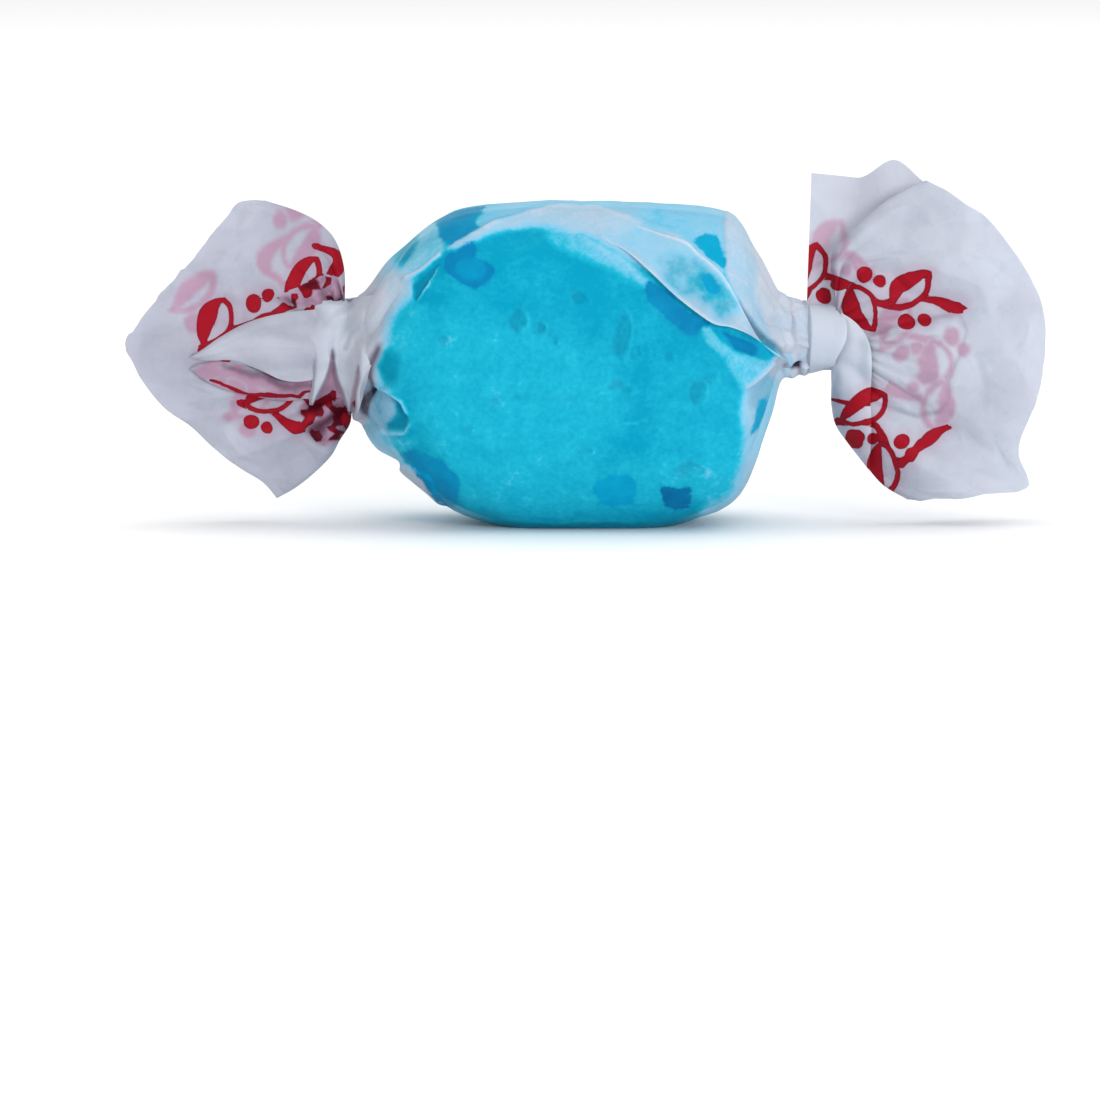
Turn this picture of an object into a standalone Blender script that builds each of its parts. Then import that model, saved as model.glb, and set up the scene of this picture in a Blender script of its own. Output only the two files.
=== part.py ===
"""Salt water taffy: one stubby log of taffy in wax paper that is twisted shut at both ends.

The wrapper can't be seen into, so the whole piece is one closed solid: the wrapped log with its
creases, the two twisted necks, and the paper tails that fan out from them as open, pleated bells.
Lengths are in millimetres here and become metres when a mesh is made. X runs along the twist, the
best side looks towards -Y, and the log rests on z = 0 with the origin under its middle.
"""

import math

import bpy
import numpy as np

MM = 0.001
NODE = "wrapped_taffy"

# Wrapped log and necks: x, underside, top, half depth and squareness of each section, left to right
SECTIONS = (
    (-17.6, 8.2, 14.0, 1.9, 2.0),
    (-16.7, 7.8, 14.6, 2.3, 2.0),
    (-15.9, 7.4, 14.9, 2.8, 2.0),
    (-15.2, 7.0, 15.0, 3.6, 2.0),
    (-14.6, 6.2, 15.4, 5.0, 2.1),
    (-13.8, 5.2, 16.4, 6.5, 2.3),
    (-12.6, 4.3, 18.1, 7.6, 2.5),
    (-10.4, 2.4, 20.1, 8.4, 2.7),
    (-8.0, 0.7, 21.3, 8.8, 2.8),
    (-4.0, -0.4, 21.8, 9.0, 2.8),
    (0.0, -0.5, 21.9, 9.0, 2.8),
    (4.5, -0.4, 21.8, 9.0, 2.8),
    (8.0, 0.4, 21.5, 8.9, 2.8),
    (10.4, 1.7, 20.9, 8.4, 2.8),
    (11.6, 3.8, 19.0, 7.4, 2.6),
    (12.6, 6.6, 16.8, 5.6, 2.4),
    (13.5, 9.2, 15.6, 3.6, 2.2),
    (14.7, 10.1, 15.1, 2.3, 2.0),
    (16.4, 10.1, 15.1, 2.5, 2.0),
    (18.1, 10.2, 14.9, 2.3, 2.0),
)
RINGS_PER_SECTION = 2
RING_POINTS = 60

# Folded band of paper that sweeps over the front: its crease above and its free edge below, as x and z
CREASE = (
    (-9.5, 18.2),
    (-6.8, 19.8),
    (-3.8, 20.8),
    (-0.7, 21.2),
    (4.5, 20.2),
    (8.7, 17.9),
    (11.8, 13.3),
    (14.0, 11.0),
)
BAND_EDGE = (
    (-9.5, 18.0),
    (-4.0, 19.4),
    (1.8, 19.4),
    (6.6, 15.4),
    (9.1, 13.5),
    (12.8, 11.7),
    (14.0, 10.8),
)
BAND_LIFT = 0.8
BAND_STEP = 0.7
CREASE_STEP = 1.0
BAND_START = (-9.5, -5.0)
BAND_END = (13.2, 14.2)
BAND_SIDE = 2.0

# Gathers on the two end walls, which swirl into the twist
GATHERS = 9
GATHER_HEIGHT = 0.28
GATHER_SWIRL = 0.25
END_WALLS = (11.0, 14.6)

# Slow lumps all over: height, then the waves in x, y and z with their phase
LUMP_HEIGHT = 0.10
LUMP_WAVES = ((0.55, 0.0, 0.31, 0.7), (0.3, -0.62, 0.47, 1.9))

# Ridges wound round the necks by the twist: middle of the neck, half length, pitch and height
LEFT_TWIST = (-16.0, 1.4, 1.6, 0.35)
RIGHT_TWIST = (14.4, 0.7, 1.5, 0.22)

# Tails: crumpled layers of paper that lie together, drawn as one sheet
PAPER = 0.8
TAIL_STEPS = 9
TAIL_POINTS = 46
# Share of the rim, from the top and from the foot, over which the bowed edges straighten out
BOW_REACH = 0.35
# Where in its rise and fall a pleat is at the neck, and how much of it the tail shows
PLEAT_START = 0.15
PLEAT_RUN = 0.75

LEFT_TAIL = {
    "root": (-16.0, 10.9),
    "root_half_height": 3.2,
    "root_half_depth": 1.6,
    "mouth_half_depth": 3.0,
    "rim": (
        (-21.6, 21.8),
        (-23.6, 21.3),
        (-31.1, 12.0),
        (-29.6, 9.3),
        (-26.8, 6.8),
        (-20.7, 1.6),
    ),
    "top_bow": (1.7, 1.2),
    "foot_bow": (0.5, 0.0),
    # Place along the rim, half width and height of each pleat of the front layer
    "pleats": ((0.44, 0.14, 1.5), (0.64, 0.09, 1.0), (0.18, 0.10, 0.6), (0.84, 0.10, 0.6)),
    # Count, height and phase of the soft waves in both layers
    "waves": (3.5, 0.45, 1.0),
}
RIGHT_TAIL = {
    "root": (17.4, 12.6),
    "root_half_height": 2.1,
    "root_half_depth": 1.7,
    "mouth_half_depth": 3.1,
    "rim": (
        (23.6, 23.4),
        (27.2, 21.2),
        (30.9, 17.3),
        (31.8, 12.8),
        (30.0, 5.4),
        (30.4, 2.2),
        (25.1, 1.6),
        (22.5, 1.5),
    ),
    "top_bow": (-1.9, 1.4),
    "foot_bow": (-1.7, -0.3),
    "pleats": ((0.88, 0.14, 1.1), (0.47, 0.13, 0.9), (0.22, 0.10, 0.6), (0.68, 0.09, 0.5)),
    "waves": (3.0, 0.5, 2.2),
}

# Free end of the sheet, standing up behind the right tail: foot and top of its two sides, as x, y, z
BACK_SHEET = {
    "left": ((15.4, 0.6, 13.6), (15.8, 2.6, 23.7)),
    "right": ((18.0, 0.4, 12.8), (24.4, 2.2, 22.8)),
    # Place across the sheet, half width and height of the small corner in its top edge
    "peak": (0.66, 0.3, 1.5),
    "wave": 0.35,
    "steps": (8, 8),
}

BLUE = (0.008, 0.38, 0.63, 1.0)
SATIN = 0.38


def clear_scene():
    for old in list(bpy.data.objects):
        bpy.data.objects.remove(old, do_unlink=True)


def add_collection(name):
    made = bpy.data.collections.new(name)
    bpy.context.scene.collection.children.link(made)
    return made


def taffy_material():
    material = bpy.data.materials.new("blue_taffy_in_wax_paper")
    material.use_nodes = True
    shader = material.node_tree.nodes["Principled BSDF"]
    shader.inputs["Base Color"].default_value = BLUE
    shader.inputs["Roughness"].default_value = SATIN
    shader.inputs["Metallic"].default_value = 0.0
    return material


def ease(low, high, value):
    """0 below low, 1 above high, smooth between."""
    part = np.clip((value - low) / (high - low), 0.0, 1.0)
    return part * part * (3.0 - 2.0 * part)


def hump(value, middle, half_width):
    """1 at the middle, falling smoothly to 0 at half_width either side."""
    return 1.0 - ease(0.0, half_width, np.abs(value - middle))


def on_polyline(points, shares):
    """Points at the given shares of a polyline's length."""
    points = np.asarray(points, float)
    steps = np.linalg.norm(np.diff(points, axis=0), axis=1)
    reached = np.concatenate(([0.0], np.cumsum(steps)))
    wanted = np.asarray(shares) * reached[-1]
    return np.stack([np.interp(wanted, reached, column) for column in points.T], axis=-1)


def smooth_rows(rows, per_gap):
    """Rows of numbers with per_gap steps between neighbours, on a Catmull-Rom curve."""
    rows = np.asarray(rows, float)
    padded = np.vstack((2 * rows[0] - rows[1], rows, 2 * rows[-1] - rows[-2]))
    finer = []
    for gap in range(len(rows) - 1):
        before, start, end, after = padded[gap : gap + 4]
        for step in range(per_gap):
            t = step / per_gap
            finer.append(
                start
                + 0.5 * t * (end - before)
                + t * t * (before - 2.5 * start + 2.0 * end - 0.5 * after)
                + 0.5 * t ** 3 * (3.0 * (start - end) + after - before)
            )
    finer.append(rows[-1])
    return np.array(finer)


def signed_power(value, power):
    return np.sign(value) * np.abs(value) ** power


def log_surface():
    """Bare surface of log and necks: a grid of points, one ring for each section, and the ring's angles."""
    angle = np.linspace(0.0, math.tau, RING_POINTS, endpoint=False)
    rings = []
    for x, underside, top, half_depth, squareness in smooth_rows(SECTIONS, RINGS_PER_SECTION):
        middle = (underside + top) / 2
        half_height = (top - underside) / 2
        y = half_depth * signed_power(np.cos(angle), 2.0 / squareness)
        z = middle + half_height * signed_power(np.sin(angle), 2.0 / squareness)
        rings.append(np.stack((np.full_like(angle, x), y, z), axis=-1))
    return np.array(rings), angle


def outward(grid):
    """Unit normals of a grid of rings about X."""
    along = np.gradient(grid, axis=0)
    around = np.roll(grid, -1, axis=1) - np.roll(grid, 1, axis=1)
    normal = np.cross(around, along)
    normal /= np.linalg.norm(normal, axis=-1, keepdims=True)
    spokes = grid - grid.mean(axis=1, keepdims=True)
    facing = np.sign(np.sum(normal * spokes, axis=-1, keepdims=True).mean())
    return normal * facing


def band_lift(x, y, z):
    crease = np.interp(x, *np.transpose(CREASE))
    edge = np.interp(x, *np.transpose(BAND_EDGE))
    between = ease(edge, edge + BAND_STEP, z) * (1.0 - ease(crease, crease + CREASE_STEP, z))
    in_front = ease(0.0, BAND_SIDE, -y) * ease(*BAND_START, x) * (1.0 - ease(*BAND_END, x))
    return BAND_LIFT * between * in_front


def gather_lift(x, angle):
    wall = hump(np.abs(x), sum(END_WALLS) / 2, (END_WALLS[1] - END_WALLS[0]) / 2)
    swirl = GATHER_SWIRL * (np.abs(x) - END_WALLS[0]) * np.sign(x)
    folds = 1.0 - 2.0 * np.abs(np.sin(0.5 * GATHERS * (angle + swirl)))
    return GATHER_HEIGHT * wall * folds


def twist_lift(x, angle, twist):
    middle, half_length, pitch, height = twist
    thread = np.cos(math.tau * (x - middle) / pitch + angle)
    return height * hump(x, middle, half_length) * thread


def lump_lift(x, y, z):
    waves = [np.sin(in_x * x + in_y * y + in_z * z + phase) for in_x, in_y, in_z, phase in LUMP_WAVES]
    return LUMP_HEIGHT * sum(waves)


def wrapped_log():
    grid, angle = log_surface()
    x, y, z = np.moveaxis(grid, -1, 0)
    lift = band_lift(x, y, z) + gather_lift(x, angle) + lump_lift(x, y, z)
    lift += twist_lift(x, angle, LEFT_TWIST) + twist_lift(x, angle, RIGHT_TWIST)
    grid = grid + lift[..., None] * outward(grid)
    grid[..., 2] = np.maximum(grid[..., 2], 0.0)
    return grid


def tail_bell(tail):
    """Open bell of paper: rings from the neck out to the rim, front layer first, then the back one."""
    angle = np.linspace(0.0, math.tau, TAIL_POINTS, endpoint=False)
    share = (1.0 - np.cos(angle)) / 2
    front = ease(0.0, 0.5, np.sin(angle))
    root_x, root_z = tail["root"]
    root = np.stack((np.full_like(share, root_x), root_z + tail["root_half_height"] * np.cos(angle)), axis=-1)
    rim = on_polyline(tail["rim"], share)
    top_pull = (1.0 - ease(0.0, BOW_REACH, share))[:, None]
    foot_pull = ease(1.0 - BOW_REACH, 1.0, share)[:, None]
    # The curve passes halfway between its control point and its chord, so a bow counts twice
    control = (root + rim) / 2 + 2 * top_pull * np.array(tail["top_bow"])
    control += 2 * foot_pull * np.array(tail["foot_bow"])
    waves, wave_height, wave_phase = tail["waves"]
    rings = []
    for step in range(TAIL_STEPS + 1):
        out = step / TAIL_STEPS
        flat = (1 - out) ** 2 * root + 2 * out * (1 - out) * control + out ** 2 * rim
        opening = tail["root_half_depth"] + (tail["mouth_half_depth"] - tail["root_half_depth"]) * out
        y = -opening * np.sin(angle)
        y -= wave_height * out * np.sin(angle) ** 2 * np.cos(math.tau * waves * share + wave_phase)
        rise = math.sin(math.pi * (PLEAT_START + PLEAT_RUN * out))
        for place, half_width, height in tail["pleats"]:
            y -= front * height * rise * hump(share, place, half_width)
        rings.append(np.stack((flat[:, 0], y, flat[:, 1]), axis=-1))
    return np.array(rings)


def back_sheet(sheet):
    """Grid of points between two leaning sides, with a small peak in its top edge."""
    across_steps, up_steps = sheet["steps"]
    left_foot, left_top = (np.array(point) for point in sheet["left"])
    right_foot, right_top = (np.array(point) for point in sheet["right"])
    peak_place, peak_half_width, peak_height = sheet["peak"]
    rows = []
    for up in np.linspace(0.0, 1.0, up_steps + 1):
        across = np.linspace(0.0, 1.0, across_steps + 1)[:, None]
        left = left_foot + up * (left_top - left_foot)
        right = right_foot + up * (right_top - right_foot)
        row = left + across * (right - left)
        row[:, 2] += up ** 4 * peak_height * hump(across[:, 0], peak_place, peak_half_width)
        row[:, 1] += sheet["wave"] * up * np.sin(math.tau * across[:, 0])
        rows.append(row)
    return np.array(rows)


def mesh_from_grid(name, grid, collection, ring, capped):
    """Quads over a grid of points; a ring grid closes on itself, and capped ends are filled."""
    rows, columns = grid.shape[:2]
    points = [tuple(point * MM) for point in grid.reshape(-1, 3)]
    wrap = columns if ring else columns - 1
    faces = []
    for row in range(rows - 1):
        for column in range(wrap):
            following = (column + 1) % columns
            first, second = row * columns, (row + 1) * columns
            faces.append((first + column, first + following, second + following, second + column))
    if capped:
        faces.append(tuple(reversed(range(columns))))
        faces.append(tuple((rows - 1) * columns + column for column in range(columns)))
    mesh = bpy.data.meshes.new(name)
    mesh.from_pydata(points, [], faces)
    mesh.validate()
    made = bpy.data.objects.new(name, mesh)
    collection.objects.link(made)
    return made


def thicken(sheet):
    solidify = sheet.modifiers.new("paper", "SOLIDIFY")
    solidify.thickness = PAPER * MM
    solidify.offset = 0.0


def face_outward(made):
    """Turn a closed mesh's faces outward by the sign of its volume."""
    mesh = made.data
    corners = np.array([vertex.co for vertex in mesh.vertices])
    mesh.calc_loop_triangles()
    triangles = np.array([triangle.vertices for triangle in mesh.loop_triangles])
    a, b, c = (corners[triangles[:, corner]] for corner in range(3))
    if np.sum(a * np.cross(b, c)) < 0:
        mesh.flip_normals()


def join_solids(base, others):
    """One Boolean union of base with a collection, applied, and the collection's objects removed."""
    union = base.modifiers.new("tails", "BOOLEAN")
    union.operation = "UNION"
    union.operand_type = "COLLECTION"
    union.collection = others
    union.solver = "EXACT"
    bpy.context.view_layer.update()
    evaluated = base.evaluated_get(bpy.context.evaluated_depsgraph_get())
    joined = bpy.data.meshes.new_from_object(evaluated)
    base.modifiers.clear()
    base.data = joined
    joined.name = base.name
    for used in list(others.objects):
        bpy.data.objects.remove(used, do_unlink=True)
    bpy.data.collections.remove(others)


def build():
    clear_scene()
    parts = add_collection("salt_water_taffy")
    tails = add_collection("tails")
    log = mesh_from_grid(NODE, wrapped_log(), parts, ring=True, capped=True)
    face_outward(log)
    for name, tail in (("left_tail", LEFT_TAIL), ("right_tail", RIGHT_TAIL)):
        thicken(mesh_from_grid(name, tail_bell(tail), tails, ring=True, capped=False))
    thicken(mesh_from_grid("back_sheet", back_sheet(BACK_SHEET), tails, ring=False, capped=False))
    join_solids(log, tails)
    log.data.materials.clear()
    log.data.materials.append(taffy_material())
    log.data.shade_smooth()
    log.data.set_sharp_from_angle(angle=math.radians(40))


build()
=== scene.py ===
"""Looks for a piece of salt water taffy: blue taffy under translucent wax paper, twisted shut at both ends.

Lengths are in millimetres here and become metres when a mesh is made. Places that were read from the
photograph are named values in its pixels, turned into millimetres by picture().
"""

import math
from typing import NamedTuple

import bpy
import numpy as np
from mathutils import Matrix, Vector
from mathutils.geometry import delaunay_2d_cdt


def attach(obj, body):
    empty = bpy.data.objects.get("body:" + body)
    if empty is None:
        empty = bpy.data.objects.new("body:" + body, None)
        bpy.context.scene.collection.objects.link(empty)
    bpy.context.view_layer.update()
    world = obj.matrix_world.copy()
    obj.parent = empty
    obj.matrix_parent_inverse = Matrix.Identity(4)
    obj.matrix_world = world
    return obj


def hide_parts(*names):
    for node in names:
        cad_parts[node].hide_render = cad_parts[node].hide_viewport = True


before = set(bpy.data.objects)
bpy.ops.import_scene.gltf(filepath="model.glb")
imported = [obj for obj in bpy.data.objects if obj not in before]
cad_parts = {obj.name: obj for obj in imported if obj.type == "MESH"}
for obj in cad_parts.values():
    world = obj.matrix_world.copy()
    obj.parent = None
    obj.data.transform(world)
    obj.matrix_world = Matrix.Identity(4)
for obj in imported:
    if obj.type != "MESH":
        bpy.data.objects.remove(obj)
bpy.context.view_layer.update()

MM = 0.001
BODY = "root"
NODE = "wrapped_taffy"

# The photograph: millimetres to a pixel, the pixel of the origin, and how the camera looks at the front
PIXEL = 0.0683
ORIGIN_PIXEL = (580.0, 522.0)
PICTURE_PIXELS = 1100
VIEW_LIFT = math.radians(6.0)
VIEW_DISTANCE = 400.0

# Wrapped log and necks: x, underside, top, half depth and squareness of each section, left to right
SECTIONS = (
    (-17.6, 8.2, 14.0, 1.9, 2.0),
    (-16.7, 7.8, 14.6, 2.3, 2.0),
    (-15.9, 7.4, 14.9, 2.8, 2.0),
    (-15.2, 7.0, 15.0, 3.6, 2.0),
    (-14.6, 6.2, 15.4, 5.0, 2.1),
    (-13.8, 5.2, 16.4, 6.5, 2.3),
    (-12.6, 4.3, 18.1, 7.6, 2.5),
    (-10.4, 2.4, 20.1, 8.4, 2.7),
    (-8.0, 0.7, 21.3, 8.8, 2.8),
    (-4.0, -0.4, 21.8, 9.0, 2.8),
    (0.0, -0.5, 21.9, 9.0, 2.8),
    (4.5, -0.4, 21.8, 9.0, 2.8),
    (8.0, 0.4, 21.5, 8.9, 2.8),
    (10.4, 1.7, 20.9, 8.4, 2.8),
    (11.6, 3.8, 19.0, 7.4, 2.6),
    (12.6, 7.0, 16.8, 5.6, 2.4),
    (13.4, 9.7, 15.7, 3.7, 2.2),
    (14.7, 10.1, 15.1, 2.3, 2.0),
    (16.4, 10.1, 15.1, 2.5, 2.0),
    (18.1, 10.2, 14.9, 2.3, 2.0),
)
SKIN_RINGS = 285
SKIN_POINTS = 330
FRONT_DENSITY = 0.35
FLOOR_CLEARANCE = 0.02
LEFT_NECK_FROM = -12.0
RIGHT_NECK_FROM = 15.0
LEFT_GATHER = (-11.6, -14.0)
RIGHT_GATHER = (11.0, 13.0)
GATHER_LOOSE = 0.68
GATHER_PLEATS = 0.26
SHUT_DEPTH = 2.2
# Painted shade on the paper twisted shut inside each mouth
SHUT_PAINTED_SHADE = -0.5
SHUT_RINGS = 16
SHUT_POINT = 0.004

# Blue taffy inside the paper
CORE_ENDS = (-14.3, 13.3)
CORE_END_RADIUS = 3.0
CORE_INSET = 0.40
CORE_FLOOR_CLEARANCE = 0.15
CORE_POINTS = 160
CORE_RINGS = 60
CORE_END_RINGS = 26
CORE_RING_GAP = 0.2

# Crumpled paper: part of the picture plane that it covers, and the net of facets that makes it
PICTURE_LOW = (-34.0, -2.0)
PICTURE_HIGH = (34.0, 27.0)
CORNER_SHIFT = 0.48
ROUNDING = 1e-6
SMALLEST_FACET = 1e-9
# Crumples seen from the front: seed of the random draw and spacing of the facets
CRUMPLES = {
    "band": (71, 1.7),
    "mottle of the band": (77, 0.5),
    "flaps": (73, 1.6),
    "left neck": (79, 1.5),
    "shade of the left neck": (83, 1.2),
    "tails": (89, 2.3),
    "crushed print": (67, 0.5),
    "shade of the crushed paper": (87, 0.7),
    "depth of the crushed paper": (69, 0.8),
}
# Crumples that bend what is drawn on the paper: seed, spacing and reach
WARPS = {
    "log": (51, 1.5, 0.12),
    "log, finer": (53, 0.5, 0.06),
    "dents": (91, 0.55, 0.2),
    "band": (55, 1.0, 0.3),
    "lower lobe": (57, 1.0, 0.25),
    "print": (61, 1.4, 0.22),
}

# Signed distance that stands for nowhere near, how wet places fade towards the back, and their soft edge
FAR = 9.0
WET_FADE = 2.6
WET_SOFT = 0.4


class Patch(NamedTuple):
    """Part of the paper that lies another way: corners in pixels, looseness, softness, lift, and painted
    shading and tint.
    """

    corners: tuple
    loose: float
    soft: float = 0.2
    lift: float = 0.0
    tone: float = 0.0


class Dent(NamedTuple):
    """Dent or pit in the face: place, half width and half height in pixels, and depth."""

    place: tuple
    half_sizes: tuple
    depth: float


class Fold(NamedTuple):
    """Ridge or groove in the paper: line in pixels, half width, height, looseness, and painted shading and
    tint.
    """

    line: tuple
    half_width: float
    height: float
    loose: float = 0.0
    tone: float = 0.0


# Looseness runs from 0, paper lying on the taffy, to 1, paper standing clear of it. Painted shading and tint
# darken or lighten the paper: painted shade in pockets, holes, creases and under flaps, a painted highlight
# along ridges and edges, and in the blue patches of the band a darker tint of the blue.
FRONT_PATCHES = {
    "strip behind the crease": Patch(
        ((470, 185), (722, 185), (724, 268), (716, 269), (700, 255), (685, 241), (658, 231), (628, 220),
        (598, 208), (564, 206), (526, 213), (500, 222), (482, 230), (474, 222), (483, 209)), 0.45, 0.14,
    ),
    "pale face": Patch(
        ((408, 320), (450, 318), (520, 325), (600, 345), (625, 400), (600, 455), (540, 480), (460, 470),
        (412, 420)), 0.18, 1.3,
    ),
    "pale face, right": Patch(((640, 400), (700, 350), (735, 400), (725, 455), (660, 470)), 0.12, 1.2),
    # Painted light: looser, paler paper low on the face, standing in for light on its downward slope.
    "painted light low on the face": Patch(
        ((430, 436), (520, 462), (640, 462), (712, 440), (728, 466), (700, 500), (600, 516), (480, 514),
        (448, 490)), 0.19, 1.1,
    ),
    "haze below the band": Patch(
        ((545, 229), (575, 233), (600, 243), (625, 259), (652, 284), (640, 287), (612, 272), (585, 260),
        (565, 252), (550, 240)), 0.36, 0.45,
    ),
    "band below the crease": Patch(
        ((446, 249), (480, 234), (500, 226), (526, 215), (564, 208), (598, 210), (628, 219), (658, 230),
        (683, 239), (698, 254), (716, 269), (737, 300), (760, 338), (776, 350), (762, 345), (736, 315),
        (700, 290), (668, 278), (645, 268), (620, 254), (602, 242), (585, 235), (567, 232), (550, 229),
        (533, 227), (510, 232), (487, 238), (471, 244), (458, 249)), 0.72, 0.36,
    ),
    # Painted highlight on the pale blue strip at the upper left, which faces away from the light.
    "light blue, upper left": Patch(
        ((398, 275), (430, 222), (443, 246), (438, 256), (405, 279)), 0.33, 0.25, 0.03, 0.5,
    ),
    "milky, by the left neck": Patch(
        ((360, 285), (392, 268), (408, 279), (411, 292), (400, 307), (387, 322), (378, 338), (372, 352),
        (360, 356)), 0.8, 0.8, 0.1,
    ),
    "haze, left": Patch(((402, 312), (424, 308), (412, 352), (398, 392), (388, 352)), 0.22, 0.6, 0.02),
    # Painted shade in the pleat at the upper left, where its paper also lies on the taffy.
    "dark pleat, upper left": Patch(
        ((411, 284), (436, 263), (433, 274), (415, 299), (411, 292)), 0.0, 0.12, -0.18, -0.6,
    ),
    "shaded spot by the neck": Patch(
        ((378, 368), (387, 352), (398, 356), (396, 380), (383, 384)), 0.03, 0.45, -0.06, -0.3,
    ),
    # The pocket and its right end are pressed in and painted with shade.
    "pocket": Patch(
        ((358, 391), (374, 392), (388, 397), (399, 405), (406, 417), (403, 428), (384, 430), (358, 424)),
        0.46, 0.2, -0.24, -0.6,
    ),
    "pocket shade": Patch(
        ((390, 395), (400, 403), (406, 417), (402, 428), (384, 429), (396, 414)), 0.02, 0.28, -0.08, -0.8,
    ),
    "light below the pocket": Patch(((370, 432), (392, 436), (412, 440), (404, 453), (384, 450)), 0.25, 0.35),
    "lower left edge": Patch(
        ((352, 422), (370, 427), (380, 438), (396, 452), (398, 466), (352, 466)), 0.56, 0.3, -0.2,
    ),
    "lower left hem": Patch(
        ((402, 462), (420, 471), (432, 481), (449, 514), (440, 524), (420, 500), (396, 474)), 0.8, 0.1, 0.2,
    ),
    "white beside the neck": Patch(
        ((340, 284), (372, 282), (386, 298), (378, 336), (368, 366), (340, 366)), 1.0, 0.6,
    ),
    "right shoulder": Patch(
        ((722, 185), (780, 185), (815, 300), (815, 345), (790, 366), (774, 354), (758, 332), (744, 312),
        (737, 299), (727, 283), (724, 268)), 0.74, 0.12, 0.12,
    ),
    "right shoulder, near the neck": Patch(
        ((754, 240), (795, 285), (815, 300), (815, 376), (776, 374), (773, 356), (766, 326), (754, 290)),
        0.97, 0.35,
    ),
    "shade along the band": Patch(
        ((735, 300), (742, 308), (753, 324), (766, 341), (779, 351), (782, 359), (773, 356), (758, 344),
        (745, 327), (737, 312)), 0.4, 0.14, -0.16, -1.3,
    ),
    "flap under the band": Patch(
        ((697, 331), (713, 329), (773, 353), (771, 363), (743, 391), (733, 370), (716, 352)), 0.32, 0.26, 0.2,
        0.1,
    ),
    "wall below the neck": Patch(
        ((772, 361), (815, 366), (800, 420), (770, 500), (716, 514), (700, 512), (722, 492), (740, 463),
        (740, 429), (744, 392)), 0.56, 0.5, 0.08, 0.1,
    ),
    "shade high on the wall": Patch(
        ((748, 388), (770, 372), (780, 376), (768, 400), (754, 410), (745, 404)), 0.48, 0.35, -0.05, -0.45,
    ),
    "shade below the neck": Patch(
        ((769, 358), (784, 360), (788, 372), (779, 381), (768, 373)), 0.92, 0.25, 0.0, -0.55,
    ),
    "shade low on the wall": Patch(
        ((730, 470), (752, 458), (760, 478), (742, 502), (716, 514), (704, 512)), 0.58, 0.5, 0.0, -0.25,
    ),
    "outer edge of the wall": Patch(
        ((778, 372), (800, 380), (775, 470), (759, 476), (768, 420)), 0.8, 0.3, 0.0, 0.1,
    ),
    # Slight painted shade under the free edge of the band, where the paper is pressed in.
    "wedge under the band": Patch(
        ((712, 327), (732, 331), (752, 339), (773, 354), (764, 360), (746, 354), (730, 347), (718, 339)),
        0.04, 0.26, -0.32, -0.1,
    ),
    "haze, low right": Patch(((688, 478), (737, 458), (728, 495), (700, 503)), 0.22, 0.6),
    # Painted shadow: a dark hole by the collar, where the paper is pushed in.
    "hole by the collar": Patch(
        ((789, 366), (794, 363), (800, 364), (799, 369), (792, 371)), 0.9, 0.05, -0.35, -2.0,
    ),
}
# Folds with a positive painted shading get a painted highlight along them, and those with a negative one get
# painted shade in them.
FRONT_FOLDS = {
    "below the band": Fold(((572, 236), (607, 255), (645, 283)), 0.6, 0.12, 0.3, 0.2),
    "edge of the left pleat": Fold(((400, 282), (420, 270), (443, 251)), 0.2, 0.22, 0.8),
    "other edge of the left pleat": Fold(((414, 302), (428, 285), (438, 264)), 0.14, 0.12, 0.5),
    "between the wet patches": Fold(((444, 251), (462, 243), (480, 235), (506, 224)), 0.22, 0.16, 0.8),
    "upper rim of the pocket": Fold(((370, 389), (388, 394), (401, 402), (409, 417)), 0.22, 0.2, 0.4, 0.3),
    "lower rim of the pocket": Fold(((366, 430), (386, 434), (403, 432), (412, 420)), 0.22, 0.14, 0.45, 0.2),
    "left edge of the flap": Fold(((698, 332), (716, 352), (733, 370), (743, 392)), 0.3, 0.04, 0.3, 0.1),
    "right edge of the flap": Fold(((743, 392), (757, 377), (772, 362)), 0.24, 0.2, 0.75, 0.2),
    "shoulder": Fold(((744, 240), (768, 288), (794, 345)), 0.3, 0.1, 0.9),
    "across the shoulder": Fold(((723, 272), (745, 284), (767, 287)), 0.14, 0.06, 0.85),
    "edge of the wall": Fold(((722, 490), (740, 462), (741, 430), (746, 396)), 0.3, 0.06, 0.25),
    "low hem": Fold(((470, 520), (560, 523), (660, 521)), 0.25, 0.05, 0.12),
    "streak": Fold(((612, 421), (628, 424), (648, 420)), 0.1, 0.04, 0.25),
    "second streak": Fold(((553, 330), (560, 336), (572, 336)), 0.08, 0.03, 0.18),
    "long crease": Fold(((430, 404), (520, 398), (600, 404), (690, 400)), 0.3, -0.06, 0.0, -0.15),
    "shade beside the left neck": Fold(
        ((383, 338), (377, 356), (369, 378), (364, 400), (362, 424)), 0.46, -0.14, 0.0, -1.7,
    ),
}
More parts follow.
